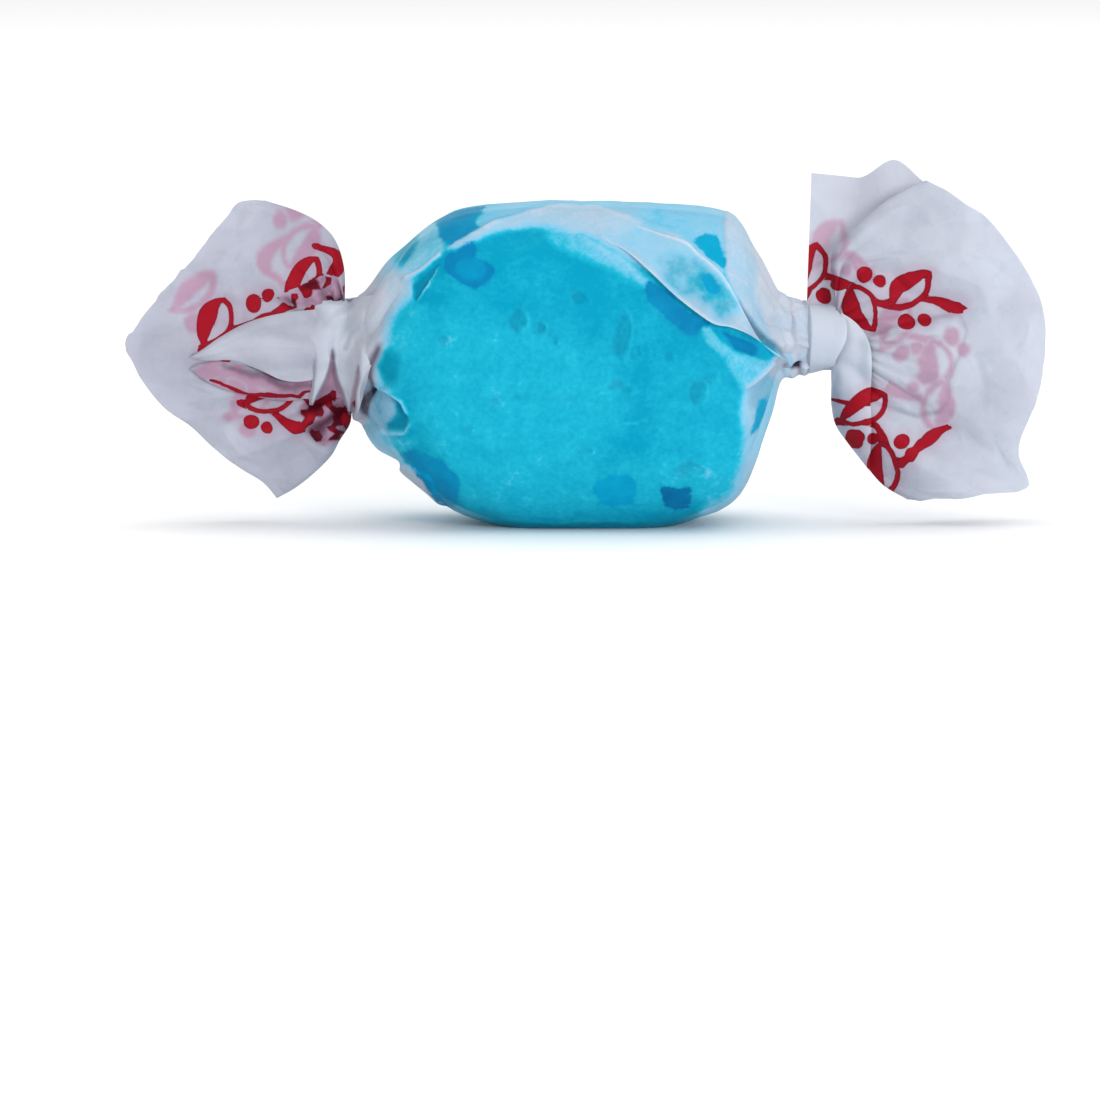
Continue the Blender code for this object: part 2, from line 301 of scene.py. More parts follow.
# Paper lying wet on the taffy shows its deep blue: corners in pixels and stain, -1 darkest to 1 palest
WET_PATCHES = {
    "upper": (
        ((436, 226), (446, 208), (465, 196), (490, 196), (486, 208), (481, 213), (473, 220), (478, 229),
        (473, 234), (449, 247), (443, 243), (437, 232)), 0.3,
    ),
    "upper left": (
        (
            (452, 252), (466, 246), (474, 245), (477, 257), (488, 263), (494, 273), (490, 283), (478, 290),
            (463, 288), (451, 280), (442, 270), (441, 260), (446, 254),
        ),
        -0.05,
    ),
    "pale middle of the upper left": (
        ((458, 264), (472, 261), (482, 268), (480, 277), (466, 277), (457, 271)), 0.25,
    ),
    "right": (
        ((646, 289), (652, 281), (690, 310), (712, 325), (702, 331), (694, 338), (684, 336), (670, 323),
        (655, 310), (644, 299)), 0.05,
    ),
    "low": (
        ((590, 490), (603, 478), (620, 473), (634, 479), (638, 492), (632, 504), (615, 508), (600, 502)), 0.5,
    ),
    "low right": (
        ((660, 491), (668, 485), (675, 488), (688, 488), (692, 498), (688, 509), (676, 512), (664, 506)),
        -0.6,
    ),
    "low left": (
        ((399, 453), (418, 452), (438, 459), (453, 470), (462, 484), (459, 500), (448, 508), (433, 490),
        (416, 470)), 0.2,
    ),
    "top right": (
        ((693, 243), (703, 235), (717, 236), (721, 250), (726, 264), (720, 272), (710, 264), (700, 254)),
        0.65,
    ),
    "under the band": (
        ((714, 328), (732, 332), (752, 341), (771, 355), (763, 360), (745, 354), (729, 346), (719, 338)),
        0.85,
    ),
    # Painted shade in the middle of the wedge under the band: a darker stain there.
    "painted shade deep under the band": (((726, 333), (741, 339), (755, 351), (748, 354), (736, 347)), -0.1),
    "slit": (
        ((757, 400), (764, 400), (763, 410), (757, 424), (750, 434), (746, 434), (748, 423), (753, 411)), 0.6,
    ),
}
DENTS = (
    Dent((622, 336), (8, 24), 0.13),
    Dent((519, 322), (9, 12), 0.14),
    Dent((543, 331), (5, 5), 0.16),
    Dent((549, 338), (3, 3), 0.1),
    Dent((556, 342), (3, 2), 0.1),
    Dent((581, 299), (10, 5), 0.12),
    Dent((444, 341), (7, 6), 0.1),
    Dent((622, 388), (14, 6), 0.12),
    Dent((698, 392), (9, 13), 0.14),
    Dent((710, 378), (8, 5), 0.08),
    Dent((692, 472), (18, 7), 0.1),
    Dent((671, 356), (5, 4), 0.12),
    Dent((679, 327), (4, 3), 0.1),
    Dent((640, 352), (4, 8), 0.08),
    Dent((496, 402), (6, 5), 0.08),
    Dent((585, 452), (8, 5), 0.08),
    Dent((470, 430), (5, 4), 0.08),
    Dent((655, 430), (5, 3), 0.08),
)
CREASE_HEIGHT = 0.55
# Strength and half width of the painted highlight along the left half of the crease
CREASE_HIGHLIGHT = 0.50
CREASE_HIGHLIGHT_WIDTH = 0.30
CREASE = (
    (440, 256), (453, 246), (481, 233), (500, 226), (526, 216), (564, 209), (598, 211), (628, 222),
    (658, 233), (681, 244), (697, 258), (713, 273), (724, 289), (733, 306), (745, 326), (759, 345),
    (780, 361),
)
BAND_TOP = (
    (606, 215), (628, 223), (657, 233), (685, 242), (698, 254), (716, 269), (727, 283), (736, 299),
    (745, 317), (757, 338), (770, 352), (787, 362),
)
BAND_EDGE = (
    (600, 238), (624, 251), (640, 264), (653, 276), (675, 297), (698, 315), (714, 325), (730, 328),
    (748, 335), (766, 347), (788, 362),
)
BAND_PATCHES = {
    # Painted shade along the free edge of the band.
    "painted shade along the edge of the band": Patch(
        ((630, 254), (700, 300), (745, 322), (760, 345), (700, 330), (630, 268)), 0.76, 0.35, 0.0, -0.3,
    ),
    # The darkening of the blue patches tints the blue that shows through the band.
    "blue through the band": Patch(
        ((658, 262), (680, 254), (706, 268), (724, 284), (740, 306), (722, 316), (700, 308), (682, 296),
        (664, 280)), 0.31, 0.6, 0.0, -0.5,
    ),
    "deeper blue through the band": Patch(
        ((694, 268), (706, 272), (718, 282), (728, 296), (716, 302), (702, 296), (692, 282)), 0.22, 0.45, 0.0,
        -0.3,
    ),
    "paler speck of the band": Patch(((672, 278), (684, 276), (690, 286), (682, 292)), 0.35, 0.3, 0.0, -0.45),
}
# Strength of the painted highlight along the band's tucked top edge
BAND_TOP_HIGHLIGHT = 0.30
BAND_MOTTLE = 0.07
BAND_WET = {
    "spot": (((698, 271), (707, 271), (714, 279), (719, 290), (712, 295), (702, 291), (697, 281)), 0.35),
}

# Back, in millimetres seen from the front: nothing shows there in the photograph, so it is finished like it
BACK_SEAM_HEIGHT = 7.2
# Wet patches: middle across and up, half width and half height
BACK_WET = (
    (-6.5, 15.5, 2.4, 1.5),
    (3.0, 4.4, 2.6, 1.1),
    (8.6, 9.5, 1.0, 1.9),
    (-1.6, 10.6, 1.2, 0.8),
    (1.2, 18.6, 1.8, 0.9),
)

# Tails: each pleat has a place, half width and height, and the waves a number, height and phase
LEFT_TAIL = {
    "root": (-16.0, 10.9),
    "root_half_height": 3.2,
    "root_half_depth": 1.6,
    "mouth_half_depth": 3.0,
    "rim": (
        (264, 200), (250, 201), (236, 206), (221, 225), (198, 252), (170, 284), (148, 308), (134, 328),
        (126, 346), (133, 362), (142, 380), (165, 408), (190, 425), (213, 447), (236, 465), (262, 481),
        (277, 498),
    ),
    "top_edge": ((345, 302), (344, 268), (335, 240), (318, 222), (295, 210), (264, 200)),
    "foot_edge": ((352, 408), (350, 424), (340, 440), (331, 456), (313, 474), (295, 488), (277, 498)),
    "pleats": ((0.44, 0.14, 1.4), (0.64, 0.09, 1.0), (0.18, 0.1, 0.7), (0.84, 0.1, 0.7)),
    "waves": (3.5, 0.45, 1.0),
    "gathers": 0.24,
    "seed": 11,
}
RIGHT_TAIL = {
    "root": (17.4, 12.6),
    "root_half_height": 2.1,
    "root_half_depth": 1.7,
    "mouth_half_depth": 3.1,
    "rim": (
        (925, 180), (945, 190), (966, 205), (985, 217), (1003, 238), (1022, 265), (1036, 290), (1043, 315),
        (1044, 345), (1042, 378), (1033, 412), (1021, 438), (1019, 458), (1028, 478), (1025, 489), (990, 494),
        (948, 499), (908, 500),
    ),
    "top_edge": ((836, 306), (831, 276), (833, 251), (852, 230), (879, 205), (907, 188), (925, 180)),
    "foot_edge": ((836, 370), (832, 398), (836, 424), (847, 442), (866, 466), (884, 486), (908, 500)),
    "pleats": ((0.88, 0.12, 0.9), (0.22, 0.1, 0.5), (0.66, 0.08, 0.4)),
    "waves": (3.0, 0.5, 2.2),
    "gathers": 0.13,
    "seed": 23,
}
EDGE_REACH = 0.35
PLEAT_START = 0.15
PLEAT_RUN = 0.75
RIM_WAVER = 0.10
RIM_SEED = 7
TAIL_RUN = 16.0
# Coarse and fine crumple of a tail: spacing and height
TAIL_CRUMPLES = ((3.2, 0.60), (1.4, 0.17))
TAIL_SHADE = 0.14
# Painted shade laid over the whole of each tail, the upper lobe and the sheet behind the right tail, darkest
# on the left
LEFT_TAIL_PAINTED_SHADE = -0.62
UPPER_LOBE_PAINTED_SHADE = -0.50
RIGHT_TAIL_PAINTED_SHADE = -0.30
BACK_SHEET_PAINTED_SHADE = -0.52
# Sheet behind the right tail: foot and top of both sides, and place, half width and height of its peak
BACK_SHEET = {
    "left": ((15.4, 0.6, 13.6), (15.8, 2.6, 23.7)),
    "right": ((18.0, 0.4, 12.8), (24.4, 2.2, 22.8)),
    "peak": (0.66, 0.3, 1.5),
    "wave": 0.35,
}

# Folded paper on the tails, in pixels
UPPER_LOBE = (
    ((356, 304), (322, 309), (284, 313), (249, 322), (222, 336), (203, 349), (190, 357)),
    ((356, 386), (330, 378), (300, 382), (281, 380), (261, 371), (233, 361), (208, 361), (190, 358)),
)
LOWER_LOBE = (
    ((318, 374), (300, 377), (281, 379), (255, 369), (225, 362), (200, 364), (190, 368)),
    ((318, 400), (304, 399), (284, 401), (251, 396), (223, 389), (204, 380), (190, 369)),
)
NECK_SIDES = (
    ((296, 304), (302, 330), (308, 370), (309, 405)),
    ((386, 294), (388, 322), (380, 350), (369, 376), (363, 396), (358, 413)),
)
NECK_OUTLINE = (
    (290, 303), (322, 303), (340, 304), (349, 308), (357, 305), (368, 300), (388, 292), (388, 314),
    (383, 334), (376, 350), (368, 367), (363, 380), (360, 394), (360, 406), (358, 412), (350, 412),
    (345, 410), (330, 407), (312, 405), (313, 388), (315, 355), (300, 332),
)
NECK_GAPS = {
    "first": (
        (332, 350), (335, 366), (338, 380), (344, 396), (348, 420), (330, 424), (308, 420), (314, 402),
        (325, 379), (330, 362),
    ),
    "second": ((358, 366), (355, 380), (352, 392), (349, 420), (354, 420), (356, 392), (359, 378)),
}
NECK_CREASES = (
    ((350, 306), (343, 311), (332, 317), (322, 326)),
    ((332, 356), (330, 344), (333, 330)),
    ((356, 372), (358, 354), (353, 338)),
    ((344, 348), (350, 334), (362, 322)),
    ((366, 352), (372, 330), (376, 308)),
)
COMMA = (
    (
        (838, 320), (840, 336), (835, 352), (831, 368), (831, 384), (831, 404), (835, 424), (846, 441),
        (867, 468),
    ),
    (
        (841, 313), (852, 320), (861, 329), (868, 341), (871, 356), (871, 376), (870, 401), (871, 424),
        (869, 470),
    ),
)
POCKET = (
    (866, 338), (896, 326), (943, 316), (957, 314), (965, 330), (960, 351), (947, 380), (947, 402),
    (938, 412), (917, 416), (890, 408), (866, 398),
)
CRUSHED = {
    "below the left neck": (
        (310, 386), (348, 380), (362, 408), (354, 428), (340, 440), (324, 446), (306, 432), (298, 408),
    ),
    "above the left neck": (
        (276, 298), (300, 286), (322, 274), (344, 282), (349, 306), (320, 308), (290, 306),
    ),
}

PAPER_CLEAR = (0.56, 0.60, 0.68, 1.0)
PAPER_OVER_TAFFY = (0.36, 0.55, 0.69, 1.0)
PAPER_NEAR_TAFFY = (0.20, 0.56, 0.77, 1.0)
PAPER_HAZE = (0.014, 0.475, 0.645, 1.0)
PAPER_ON_TAFFY = (0.001, 0.352, 0.528, 1.0)
WET_BLUE = (0.001, 0.185, 0.385, 1.0)
WET_SHADE = (0.001, 0.085, 0.22, 1.0)
CORE_BLUE = (0.001, 0.20, 0.40, 1.0)
CORE_LIGHT_BLUE = (0.001, 0.235, 0.46, 1.0)
DEEP_SHADE = (0.002, 0.15, 0.25, 1.0)
PALE_SHADE = (0.27, 0.25, 0.33, 1.0)
HOLE_SHADE = (0.03, 0.02, 0.045, 1.0)
HIGHLIGHT = (0.80, 0.88, 0.95, 1.0)
RED_INK = (0.33, 0.007, 0.018, 1.0)
DARK_INK = (0.085, 0.004, 0.012, 1.0)
PINK_GHOST = (0.43, 0.20, 0.32, 1.0)
GHOST_SHADE = (0.13, 0.03, 0.06, 1.0)
# Colour of the paper at each looseness
PAPER_COLOURS = (
    (0.02, PAPER_ON_TAFFY),
    (0.24, PAPER_HAZE),
    (0.44, PAPER_NEAR_TAFFY),
    (0.72, PAPER_OVER_TAFFY),
    (0.98, PAPER_CLEAR),
)
SHINE = 0.04
BUMP_HEIGHT = 0.00004
# Noises: size in millimetres, detail and roughness
CLOUD = (1.5, 5.0, 0.65)
GRAIN = (0.35, 4.0, 0.65)
FIBRE = (0.06, 2.0, 0.55)
TAFFY_CLOUD = (1.8, 4.0, 0.55)
TAFFY_GRAIN = (0.2, 2.0, 0.55)
# Least and most of what the paper hides, what it hides more where wet, and its glow and roughness
COVER = (0.64, 0.95)
WET_COVER = 0.26
GLOW = 0.20
ROUGHNESS = (0.45, 0.60)


def picture(*pixels):
    """Millimetres in the picture plane, x to the right and z up, of pixels in the photograph."""
    return np.array([((px - ORIGIN_PIXEL[0]) * PIXEL, (ORIGIN_PIXEL[1] - py) * PIXEL) for px, py in pixels])


def ease(low, high, value):
    """0 below low, 1 above high, smooth between."""
    part = np.clip((value - low) / (high - low), 0.0, 1.0)
    return part * part * (3.0 - 2.0 * part)


def fall(low, high, value):
    """1 below low, 0 above high, smooth between."""
    return 1.0 - ease(low, high, value)


def hump(value, middle, half_width):
    """1 at the middle, falling smoothly to 0 at half_width either side."""
    return fall(0.0, half_width, np.abs(value - middle))


def fold(phase):
    """Sharp-bottomed pleats, -1 in the crease to 1 on the crest, one for each whole turn of phase."""
    return 2.0 * np.abs(np.sin(0.5 * phase)) ** 0.8 - 1.0


def signed_power(value, power):
    return np.sign(value) * np.abs(value) ** power


def lengths_along(points):
    """Length of each step of a polyline, and how far along it each of its points lies."""
    steps = np.linalg.norm(np.diff(points, axis=0), axis=1)
    return steps, np.concatenate(([0.0], np.cumsum(steps)))


def full_turn(count):
    """Evenly spaced angles once round."""
    return np.linspace(0.0, math.tau, count, endpoint=False)


def on_polyline(points, shares):
    """Points at the given shares of a polyline's length."""
    _, reached = lengths_along(points)
    wanted = np.asarray(shares) * reached[-1]
    return np.stack([np.interp(wanted, reached, column) for column in points.T], axis=-1)


def smooth_rows(rows, per_gap):
    """Rows of numbers with per_gap steps between neighbours, on a Catmull-Rom curve."""
    rows = np.asarray(rows, float)
    padded = np.vstack((2 * rows[0] - rows[1], rows, 2 * rows[-1] - rows[-2]))
    finer = []
    for gap in range(len(rows) - 1):
        before, start, end, after = padded[gap : gap + 4]
        for step in range(per_gap):
            t = step / per_gap
            finer.append(
                start
                + 0.5 * t * (end - before)
                + t * t * (before - 2.5 * start + 2.0 * end - 0.5 * after)
                + 0.5 * t ** 3 * (3.0 * (start - end) + after - before)
            )
    finer.append(rows[-1])
    return np.array(finer)


def curve(pixels):
    """Smooth curve through pixels, in the picture plane."""
    return smooth_rows(picture(*pixels), 6)


def seen(points):
    """Place in the picture plane, through the origin, of points that are seen from the front."""
    x, y, z = np.moveaxis(points, -1, 0)
    depth = VIEW_DISTANCE + y * math.cos(VIEW_LIFT) - z * math.sin(VIEW_LIFT)
    shrink = VIEW_DISTANCE / depth
    return x * shrink, (z * math.cos(VIEW_LIFT) + y * math.sin(VIEW_LIFT)) * shrink


def behind(plane, y):
    """Points at depth y that are seen at the given places of the picture plane: the inverse of seen()."""
    grow = (VIEW_DISTANCE + y * math.cos(VIEW_LIFT) - plane[..., 1] * math.sin(VIEW_LIFT)) / VIEW_DISTANCE
    z = (plane[..., 1] * grow - y * math.sin(VIEW_LIFT)) / math.cos(VIEW_LIFT)
    return np.stack((plane[..., 0] * grow, y, z), axis=-1)


def line_field(x, z, line):
    """Distance to a line of points, side (1 on its left) and share of its length at the nearest place."""
    steps, reached = lengths_along(line)
    best = np.full(np.shape(x), np.inf)
    side = np.ones(np.shape(x))
    share = np.zeros(np.shape(x))
    for (ax, az), (bx, bz), start, step in zip(line[:-1], line[1:], reached, steps):
        t = np.clip(((x - ax) * (bx - ax) + (z - az) * (bz - az)) / step ** 2, 0.0, 1.0)
        away = np.hypot(x - ax - t * (bx - ax), z - az - t * (bz - az))
        closer = away < best
        turn = (bx - ax) * (z - az) - (bz - az) * (x - ax)
        best = np.where(closer, away, best)
        side = np.where(closer, np.sign(turn), side)
        share = np.where(closer, (start + t * step) / reached[-1], share)
    return best, side, share


def polygon_distance(x, z, corners):
    """Signed distance to a polygon, negative inside."""
    away, _, _ = line_field(x, z, np.vstack((corners, corners[:1])))
    inside = np.zeros(np.shape(x), bool)
    for (ax, az), (bx, bz) in zip(corners, np.roll(corners, -1, axis=0)):
        crosses = (az > z) != (bz > z)
        with np.errstate(divide="ignore", invalid="ignore"):
            at = ax + (z - az) * (bx - ax) / (bz - az)
        inside ^= crosses & (x < at)
    return np.where(inside, -away, away)


def blob_distance(x, z, pixels):
    """Signed distance to the closed smooth curve through pixels, negative inside."""
    closed = picture(*pixels[-2:], *pixels, *pixels[:2])
    return polygon_distance(x, z, smooth_rows(closed, 4)[8:-8])


def pillow(distance, radius):
    """Rounded swelling inside a signed distance: 0 at the edge, 1 from radius inwards."""
    inwards = np.clip(-distance / radius, 0.0, 1.0)
    return np.sqrt(1.0 - (1.0 - inwards) ** 2)


def facets(seed, spacing, low, high, u, v):
    """Crumpled paper at u, v: a random net of triangles with a random height, -1 to 1, at each corner."""
    draw = np.random.default_rng(seed)
    columns = [np.arange(start - 2 * spacing, end + 2 * spacing, spacing) for start, end in zip(low, high)]
    corners = np.stack(np.meshgrid(*columns, indexing="ij"), axis=-1).reshape(-1, 2)
    corners = corners + draw.uniform(-CORNER_SHIFT, CORNER_SHIFT, corners.shape) * spacing
    made = delaunay_2d_cdt([Vector(corner) for corner in corners], [], [], 0, ROUNDING)
    net = np.array([tuple(corner) for corner in made[0]])
    heights = draw.uniform(-1.0, 1.0, len(net))
    result = np.zeros(np.shape(u))
    for a, b, c in (face for face in made[2] if len(face) == 3):
        (au, av), (bu, bv), (cu, cv) = net[a], net[b], net[c]
        near = (u >= min(au, bu, cu)) & (u <= max(au, bu, cu))
        near &= (v >= min(av, bv, cv)) & (v <= max(av, bv, cv))
        area = (bu - au) * (cv - av) - (cu - au) * (bv - av)
        if abs(area) < SMALLEST_FACET or not near.any():
            continue
        pu, pv = u[near], v[near]
        wb = ((pu - au) * (cv - av) - (cu - au) * (pv - av)) / area
        wc = ((bu - au) * (pv - av) - (pu - au) * (bv - av)) / area
        wa = 1.0 - wb - wc
        inside = (wa >= -ROUNDING) & (wb >= -ROUNDING) & (wc >= -ROUNDING)
        height = wa * heights[a] + wb * heights[b] + wc * heights[c]
        result[near] = np.where(inside, height, result[near])
    return result


def crumpled(name, xs, zs):
    """Height of one of the CRUMPLES over the picture plane, -1 to 1."""
    seed, spacing = CRUMPLES[name]
    return facets(seed, spacing, PICTURE_LOW, PICTURE_HIGH, xs, zs)


def warp(name, xs, zs):
    """Places in the picture plane moved by one of the WARPS, which makes the edges drawn there uneven."""
    seed, spacing, reach = WARPS[name]
    move_x, move_z = (facets(seed + step, spacing, PICTURE_LOW, PICTURE_HIGH, xs, zs) for step in (0, 1))
    return xs + reach * move_x, zs + reach * move_z


# Wrapped log


class Paper:
    """State of the paper over a grid: lift off the bare surface, looseness, painted shading and tint, and
    distance to wet places.

    The grid is seen at xs, zs in the picture plane, and what is drawn on it shows where mask is 1.
    """

    def __init__(self, xs, zs, mask=1.0, loose=0.0):
        self.place = (xs, zs)
        self.mask = mask
        self.lift = np.zeros(xs.shape)
        self.loose = np.full(xs.shape, float(loose))
        self.tone = np.zeros(xs.shape)
        self.wet = np.full(xs.shape, FAR)
        self.stain = np.zeros(xs.shape)

    def loosen(self, part, loose):
        """Makes the paper looser, never tighter, as far as part says."""
        self.loose += part * np.maximum(loose - self.loose, 0.0)

    def paint(self, patches):
        for patch in patches.values():
            away = blob_distance(*self.place, patch.corners)
            part = fall(-patch.soft, patch.soft, away) * self.mask
            self.loose += part * (patch.loose - self.loose)
            self.tone += part * (patch.tone - self.tone)
            self.lift += part * patch.lift

    def crease(self, folds):
        for made in folds.values():
            away, _, share = line_field(*self.place, picture(*made.line))
            ends = ease(0.0, 0.15, share) * fall(0.85, 1.0, share)
            part = fall(0.0, made.half_width, away) * ends * self.mask
            self.loosen(part, made.loose)
            self.tone += part * made.tone
            self.lift += part * made.height

    def soak(self, patches):
        for corners, stain in patches.values():
            away = blob_distance(*self.place, corners)
            part = fall(0.0, WET_SOFT, away) * self.mask
            self.stain += part * (stain - self.stain)
            self.wet = np.minimum(self.wet, away + WET_FADE * (1.0 - self.mask))

    def dent(self, dents):
        xs, zs = warp("dents", *self.place)
        for made in dents:
            (middle,) = picture(made.place)
            half_width, half_height = np.array(made.half_sizes) * PIXEL
            side = (xs - middle[0]) / half_width
            reach = np.hypot(side, (zs - middle[1]) / half_height)
            # Each dent is pressed in by its depth and gets painted shade inside and along its left rim, plus
            # a painted highlight of paler, looser paper along its right rim.
            inside = fall(0.3, 1.15, reach) * self.mask
            shadow = hump(reach, 0.8, 0.45) * fall(-0.6, 0.8, side) * self.mask
            self.lift -= made.depth * inside
            self.tone -= made.depth * (2.8 * inside + 3.2 * shadow)
            self.loose += made.depth * hump(reach, 1.0, 0.4) * ease(0.0, 1.0, side) * self.mask


def section_ring(rows, x, angle, inset=0.0, size=1.0):
    """Ring of points round the log at x, drawn in by inset and made smaller by size."""
    underside, top, half_depth, squareness = (np.interp(x, rows[:, 0], rows[:, k]) for k in range(1, 5))
    half_height = max((top - underside) / 2 - inset, 0.0) * size
    y = max(half_depth - inset, 0.0) * size * signed_power(np.cos(angle), 2.0 / squareness)
    z = (underside + top) / 2 + half_height * signed_power(np.sin(angle), 2.0 / squareness)
    return np.stack((np.full_like(angle, x), y, z), axis=-1)


def log_surface():
    """Bare surface of log and necks: a grid of points, one ring for each station, and the ring's angles."""
    turn = full_turn(SKIN_POINTS)
    angle = turn + FRONT_DENSITY * np.sin(turn)
    rows = smooth_rows(SECTIONS, 12)
    stations = np.linspace(rows[0, 0], rows[-1, 0], SKIN_RINGS)
    return np.array([section_ring(rows, x, angle) for x in stations]), angle


def outward(grid):
    """Unit normals of a grid of rings about X."""
    along = np.gradient(grid, axis=0)
    around = np.roll(grid, -1, axis=1) - np.roll(grid, 1, axis=1)
    normal = np.cross(around, along)
    normal /= np.maximum(np.linalg.norm(normal, axis=-1, keepdims=True), 1e-12)
    spokes = grid - grid.mean(axis=1, keepdims=True)
    facing = np.sign(np.sum(normal * spokes, axis=-1, keepdims=True).mean())
    return normal * facing


def raise_crease(paper):
    """Stands the paper up along the crease that crosses the front, and paints a highlight along the left half
    of the crease.
    """
    away, side, share = line_field(*paper.place, picture(*CREASE))
    below = np.interp(share, (0.0, 0.15, 0.45, 0.55, 1.0), (0.5, 1.4, 1.8, 0.6, 0.4))
    above = np.interp(share, (0.0, 0.5, 1.0), (0.7, 0.8, 0.8))
    height = np.interp(share, (0.0, 0.08, 0.3, 0.45, 0.6, 1.0), (0.0, 0.45, 0.40, 0.50, 0.70, 0.40))
    ridge = fall(0.0, np.where(side > 0, above, below), away) * paper.mask
    paper.lift += CREASE_HEIGHT * height * ridge
    # Painted highlight: paler, looser paper along the left half of the crease.
    light = hump(away, 0.0, CREASE_HIGHLIGHT_WIDTH) * ease(0.02, 0.1, share) * fall(0.49, 0.55, share)
    light = CREASE_HIGHLIGHT * light * paper.mask
    paper.loosen(light, 0.9)
    paper.tone += 0.6 * light


def gather_ends(paper, x, turn):
    """Pleats that run from both ends of the log into the necks."""
    left_pleats = fold(9.0 * turn + 0.9 * (x + 14.0) + 1.2 + 0.5 * np.sin(2 * turn))
    right_pleats = fold(11.0 * turn - 0.8 * (x - 13.0) + 0.4 + 0.6 * np.sin(3 * turn + 1.0))
    paper.lift += 0.26 * ease(-11.5, -13.4, x) * fall(-14.4, -15.2, x) * left_pleats
    paper.lift += 0.18 * ease(*RIGHT_GATHER, x) * fall(14.0, 14.8, x) * right_pleats
    for gather, pleats in ((LEFT_GATHER, left_pleats), (RIGHT_GATHER, right_pleats)):
        gathered = ease(*gather, x) * (GATHER_LOOSE + GATHER_PLEATS * pleats)
        paper.loose = np.maximum(paper.loose, gathered)


def finish_back(paper, x, y, z, crumple):
    """Seam, light patches and wet patches on the side that the photograph doesn't show."""
    back = ease(-0.5, 2.0, y) * fall(-11.5, -13.5, x) * fall(*RIGHT_GATHER, x)
    above = z - (BACK_SEAM_HEIGHT + 0.8 * np.sin(0.35 * x + 1.0) + 0.25 * np.sin(1.3 * x))
    paper.lift += back * 0.20 * ease(-0.25, 0.25, above) * fall(3.0, 9.0, above)
    paper.lift += back * 0.14 * hump(above, 0.35, 0.6)
    edge = 0.72 * fall(0.2, 2.2, above) * ease(-0.25, 0.15, above)
    strip = 0.55 * hump(z, 14.5 + 0.12 * x + 0.8 * np.sin(0.5 * x), 1.9) * ease(-6.0, 2.0, x)
    uneven_x = x + 1.4 * crumple
    ends = 0.6 * np.maximum(ease(-10.6, -12.6, uneven_x), ease(9.4, 11.6, uneven_x))
    paper.loosen(back, np.maximum.reduce([edge, strip, ends, 0.10 + 0.20 * crumple]))
    for middle_x, middle_z, half_width, half_height in BACK_WET:
        reach = np.hypot((x - middle_x) / half_width, (z - middle_z) / half_height)
        away = (reach - 1.0) * min(half_width, half_height) + 0.55 * crumple
        paper.wet = np.where(back > 0.5, np.minimum(paper.wet, away), paper.wet)


def wind_necks(paper, x, turn):
    """Wound paper at the left neck, and creases that run in under the collar at the right one, with painted
    shade in the grooves of both.
    """
    left = ease(-14.3, -15.0, x)
    right = ease(13.7, 14.4, x)
    thread = fold(math.tau * x / 1.3 + 3.0 * turn + 0.7 * np.sin(turn) + 0.9 * np.sin(2 * turn + 0.5))
    paper.lift += 0.24 * thread * left * fall(-17.2, -17.6, x)
    paper.lift -= 0.90 * ease(-15.4, -15.9, x) * ease(0.2, 0.8, -np.sin(turn))
    creases = np.sin(math.tau * x / 1.1 - 1.0 * turn + 0.9 * np.sin(turn))
    part_way = 0.4 + 0.6 * np.sin(1.5 * turn + 2.0 * x) ** 2
    paper.lift += 0.12 * creases * part_way * ease(13.5, 14.1, x) * fall(14.9, 15.3, x)
    paper.tone -= 0.80 * np.clip(-creases, 0.0, 1.0) ** 2 * part_way * ease(13.1, 13.9, x)
    paper.lift -= 0.45 * ease(15.35, 15.75, x)
    paper.loose = np.maximum(paper.loose, np.maximum(left, right))
    paper.tone -= 0.25 * np.clip(-thread, 0.0, 1.0) * left


def skin():
    """Paper over the log: its points, ring by ring, and its state."""
    grid, angle = log_surface()
    x, y, z = np.moveaxis(grid, -1, 0)
    turn = np.broadcast_to(angle, x.shape)
    xs, zs = warp("log", *seen(grid))
    xs, zs = warp("log, finer", xs, zs)
    around = (turn - math.pi) * 10.0
    low, high = (-18.0, -32.0), (18.5, 32.0)
    crumple = facets(5, 2.6, low, high, x, around)
    fine_crumple = facets(6, 1.2, low, high, x, around)
    paper = Paper(xs, zs, mask=ease(2.0, -0.5, y))
    paper.loose += 0.045 + 0.06 * crumple
    gather_ends(paper, x, turn)
    finish_back(paper, x, y, z, crumple)
    paper.paint(FRONT_PATCHES)
    raise_crease(paper)
    paper.crease(FRONT_FOLDS)
    paper.soak(WET_PATCHES)
    paper.dent(DENTS)
    wind_necks(paper, x, turn)
    paper.loose += 0.10 * crumple * ease(0.1, 0.5, paper.loose)
    paper.loose = np.clip(paper.loose, 0.0, 1.0)
    paper.lift += crumple * (0.05 + 0.12 * paper.loose) + fine_crumple * (0.02 + 0.06 * paper.loose)
    grid = grid + paper.lift[..., None] * outward(grid)
    grid[..., 2] = np.maximum(grid[..., 2], FLOOR_CLEARANCE)
    return grid, paper


def shut_end(ring, way):
    """Paper twisted shut inside the mouth of a tail: folds that run in to a point."""
    ring = ring[::3]
    size = np.linspace(1.0, SHUT_POINT, SHUT_RINGS)[:, None]
    angle = full_turn(len(ring))[None, :]
    pleats = 1.0 + 0.12 * fold(7.0 * angle + 5.0 * size) * np.sin(math.pi * size)
    middle = ring.mean(axis=0)
    grid = middle + (ring - middle) * (size * pleats)[..., None]
    grid[..., 0] += way * SHUT_DEPTH * (1.0 - size)
    return grid


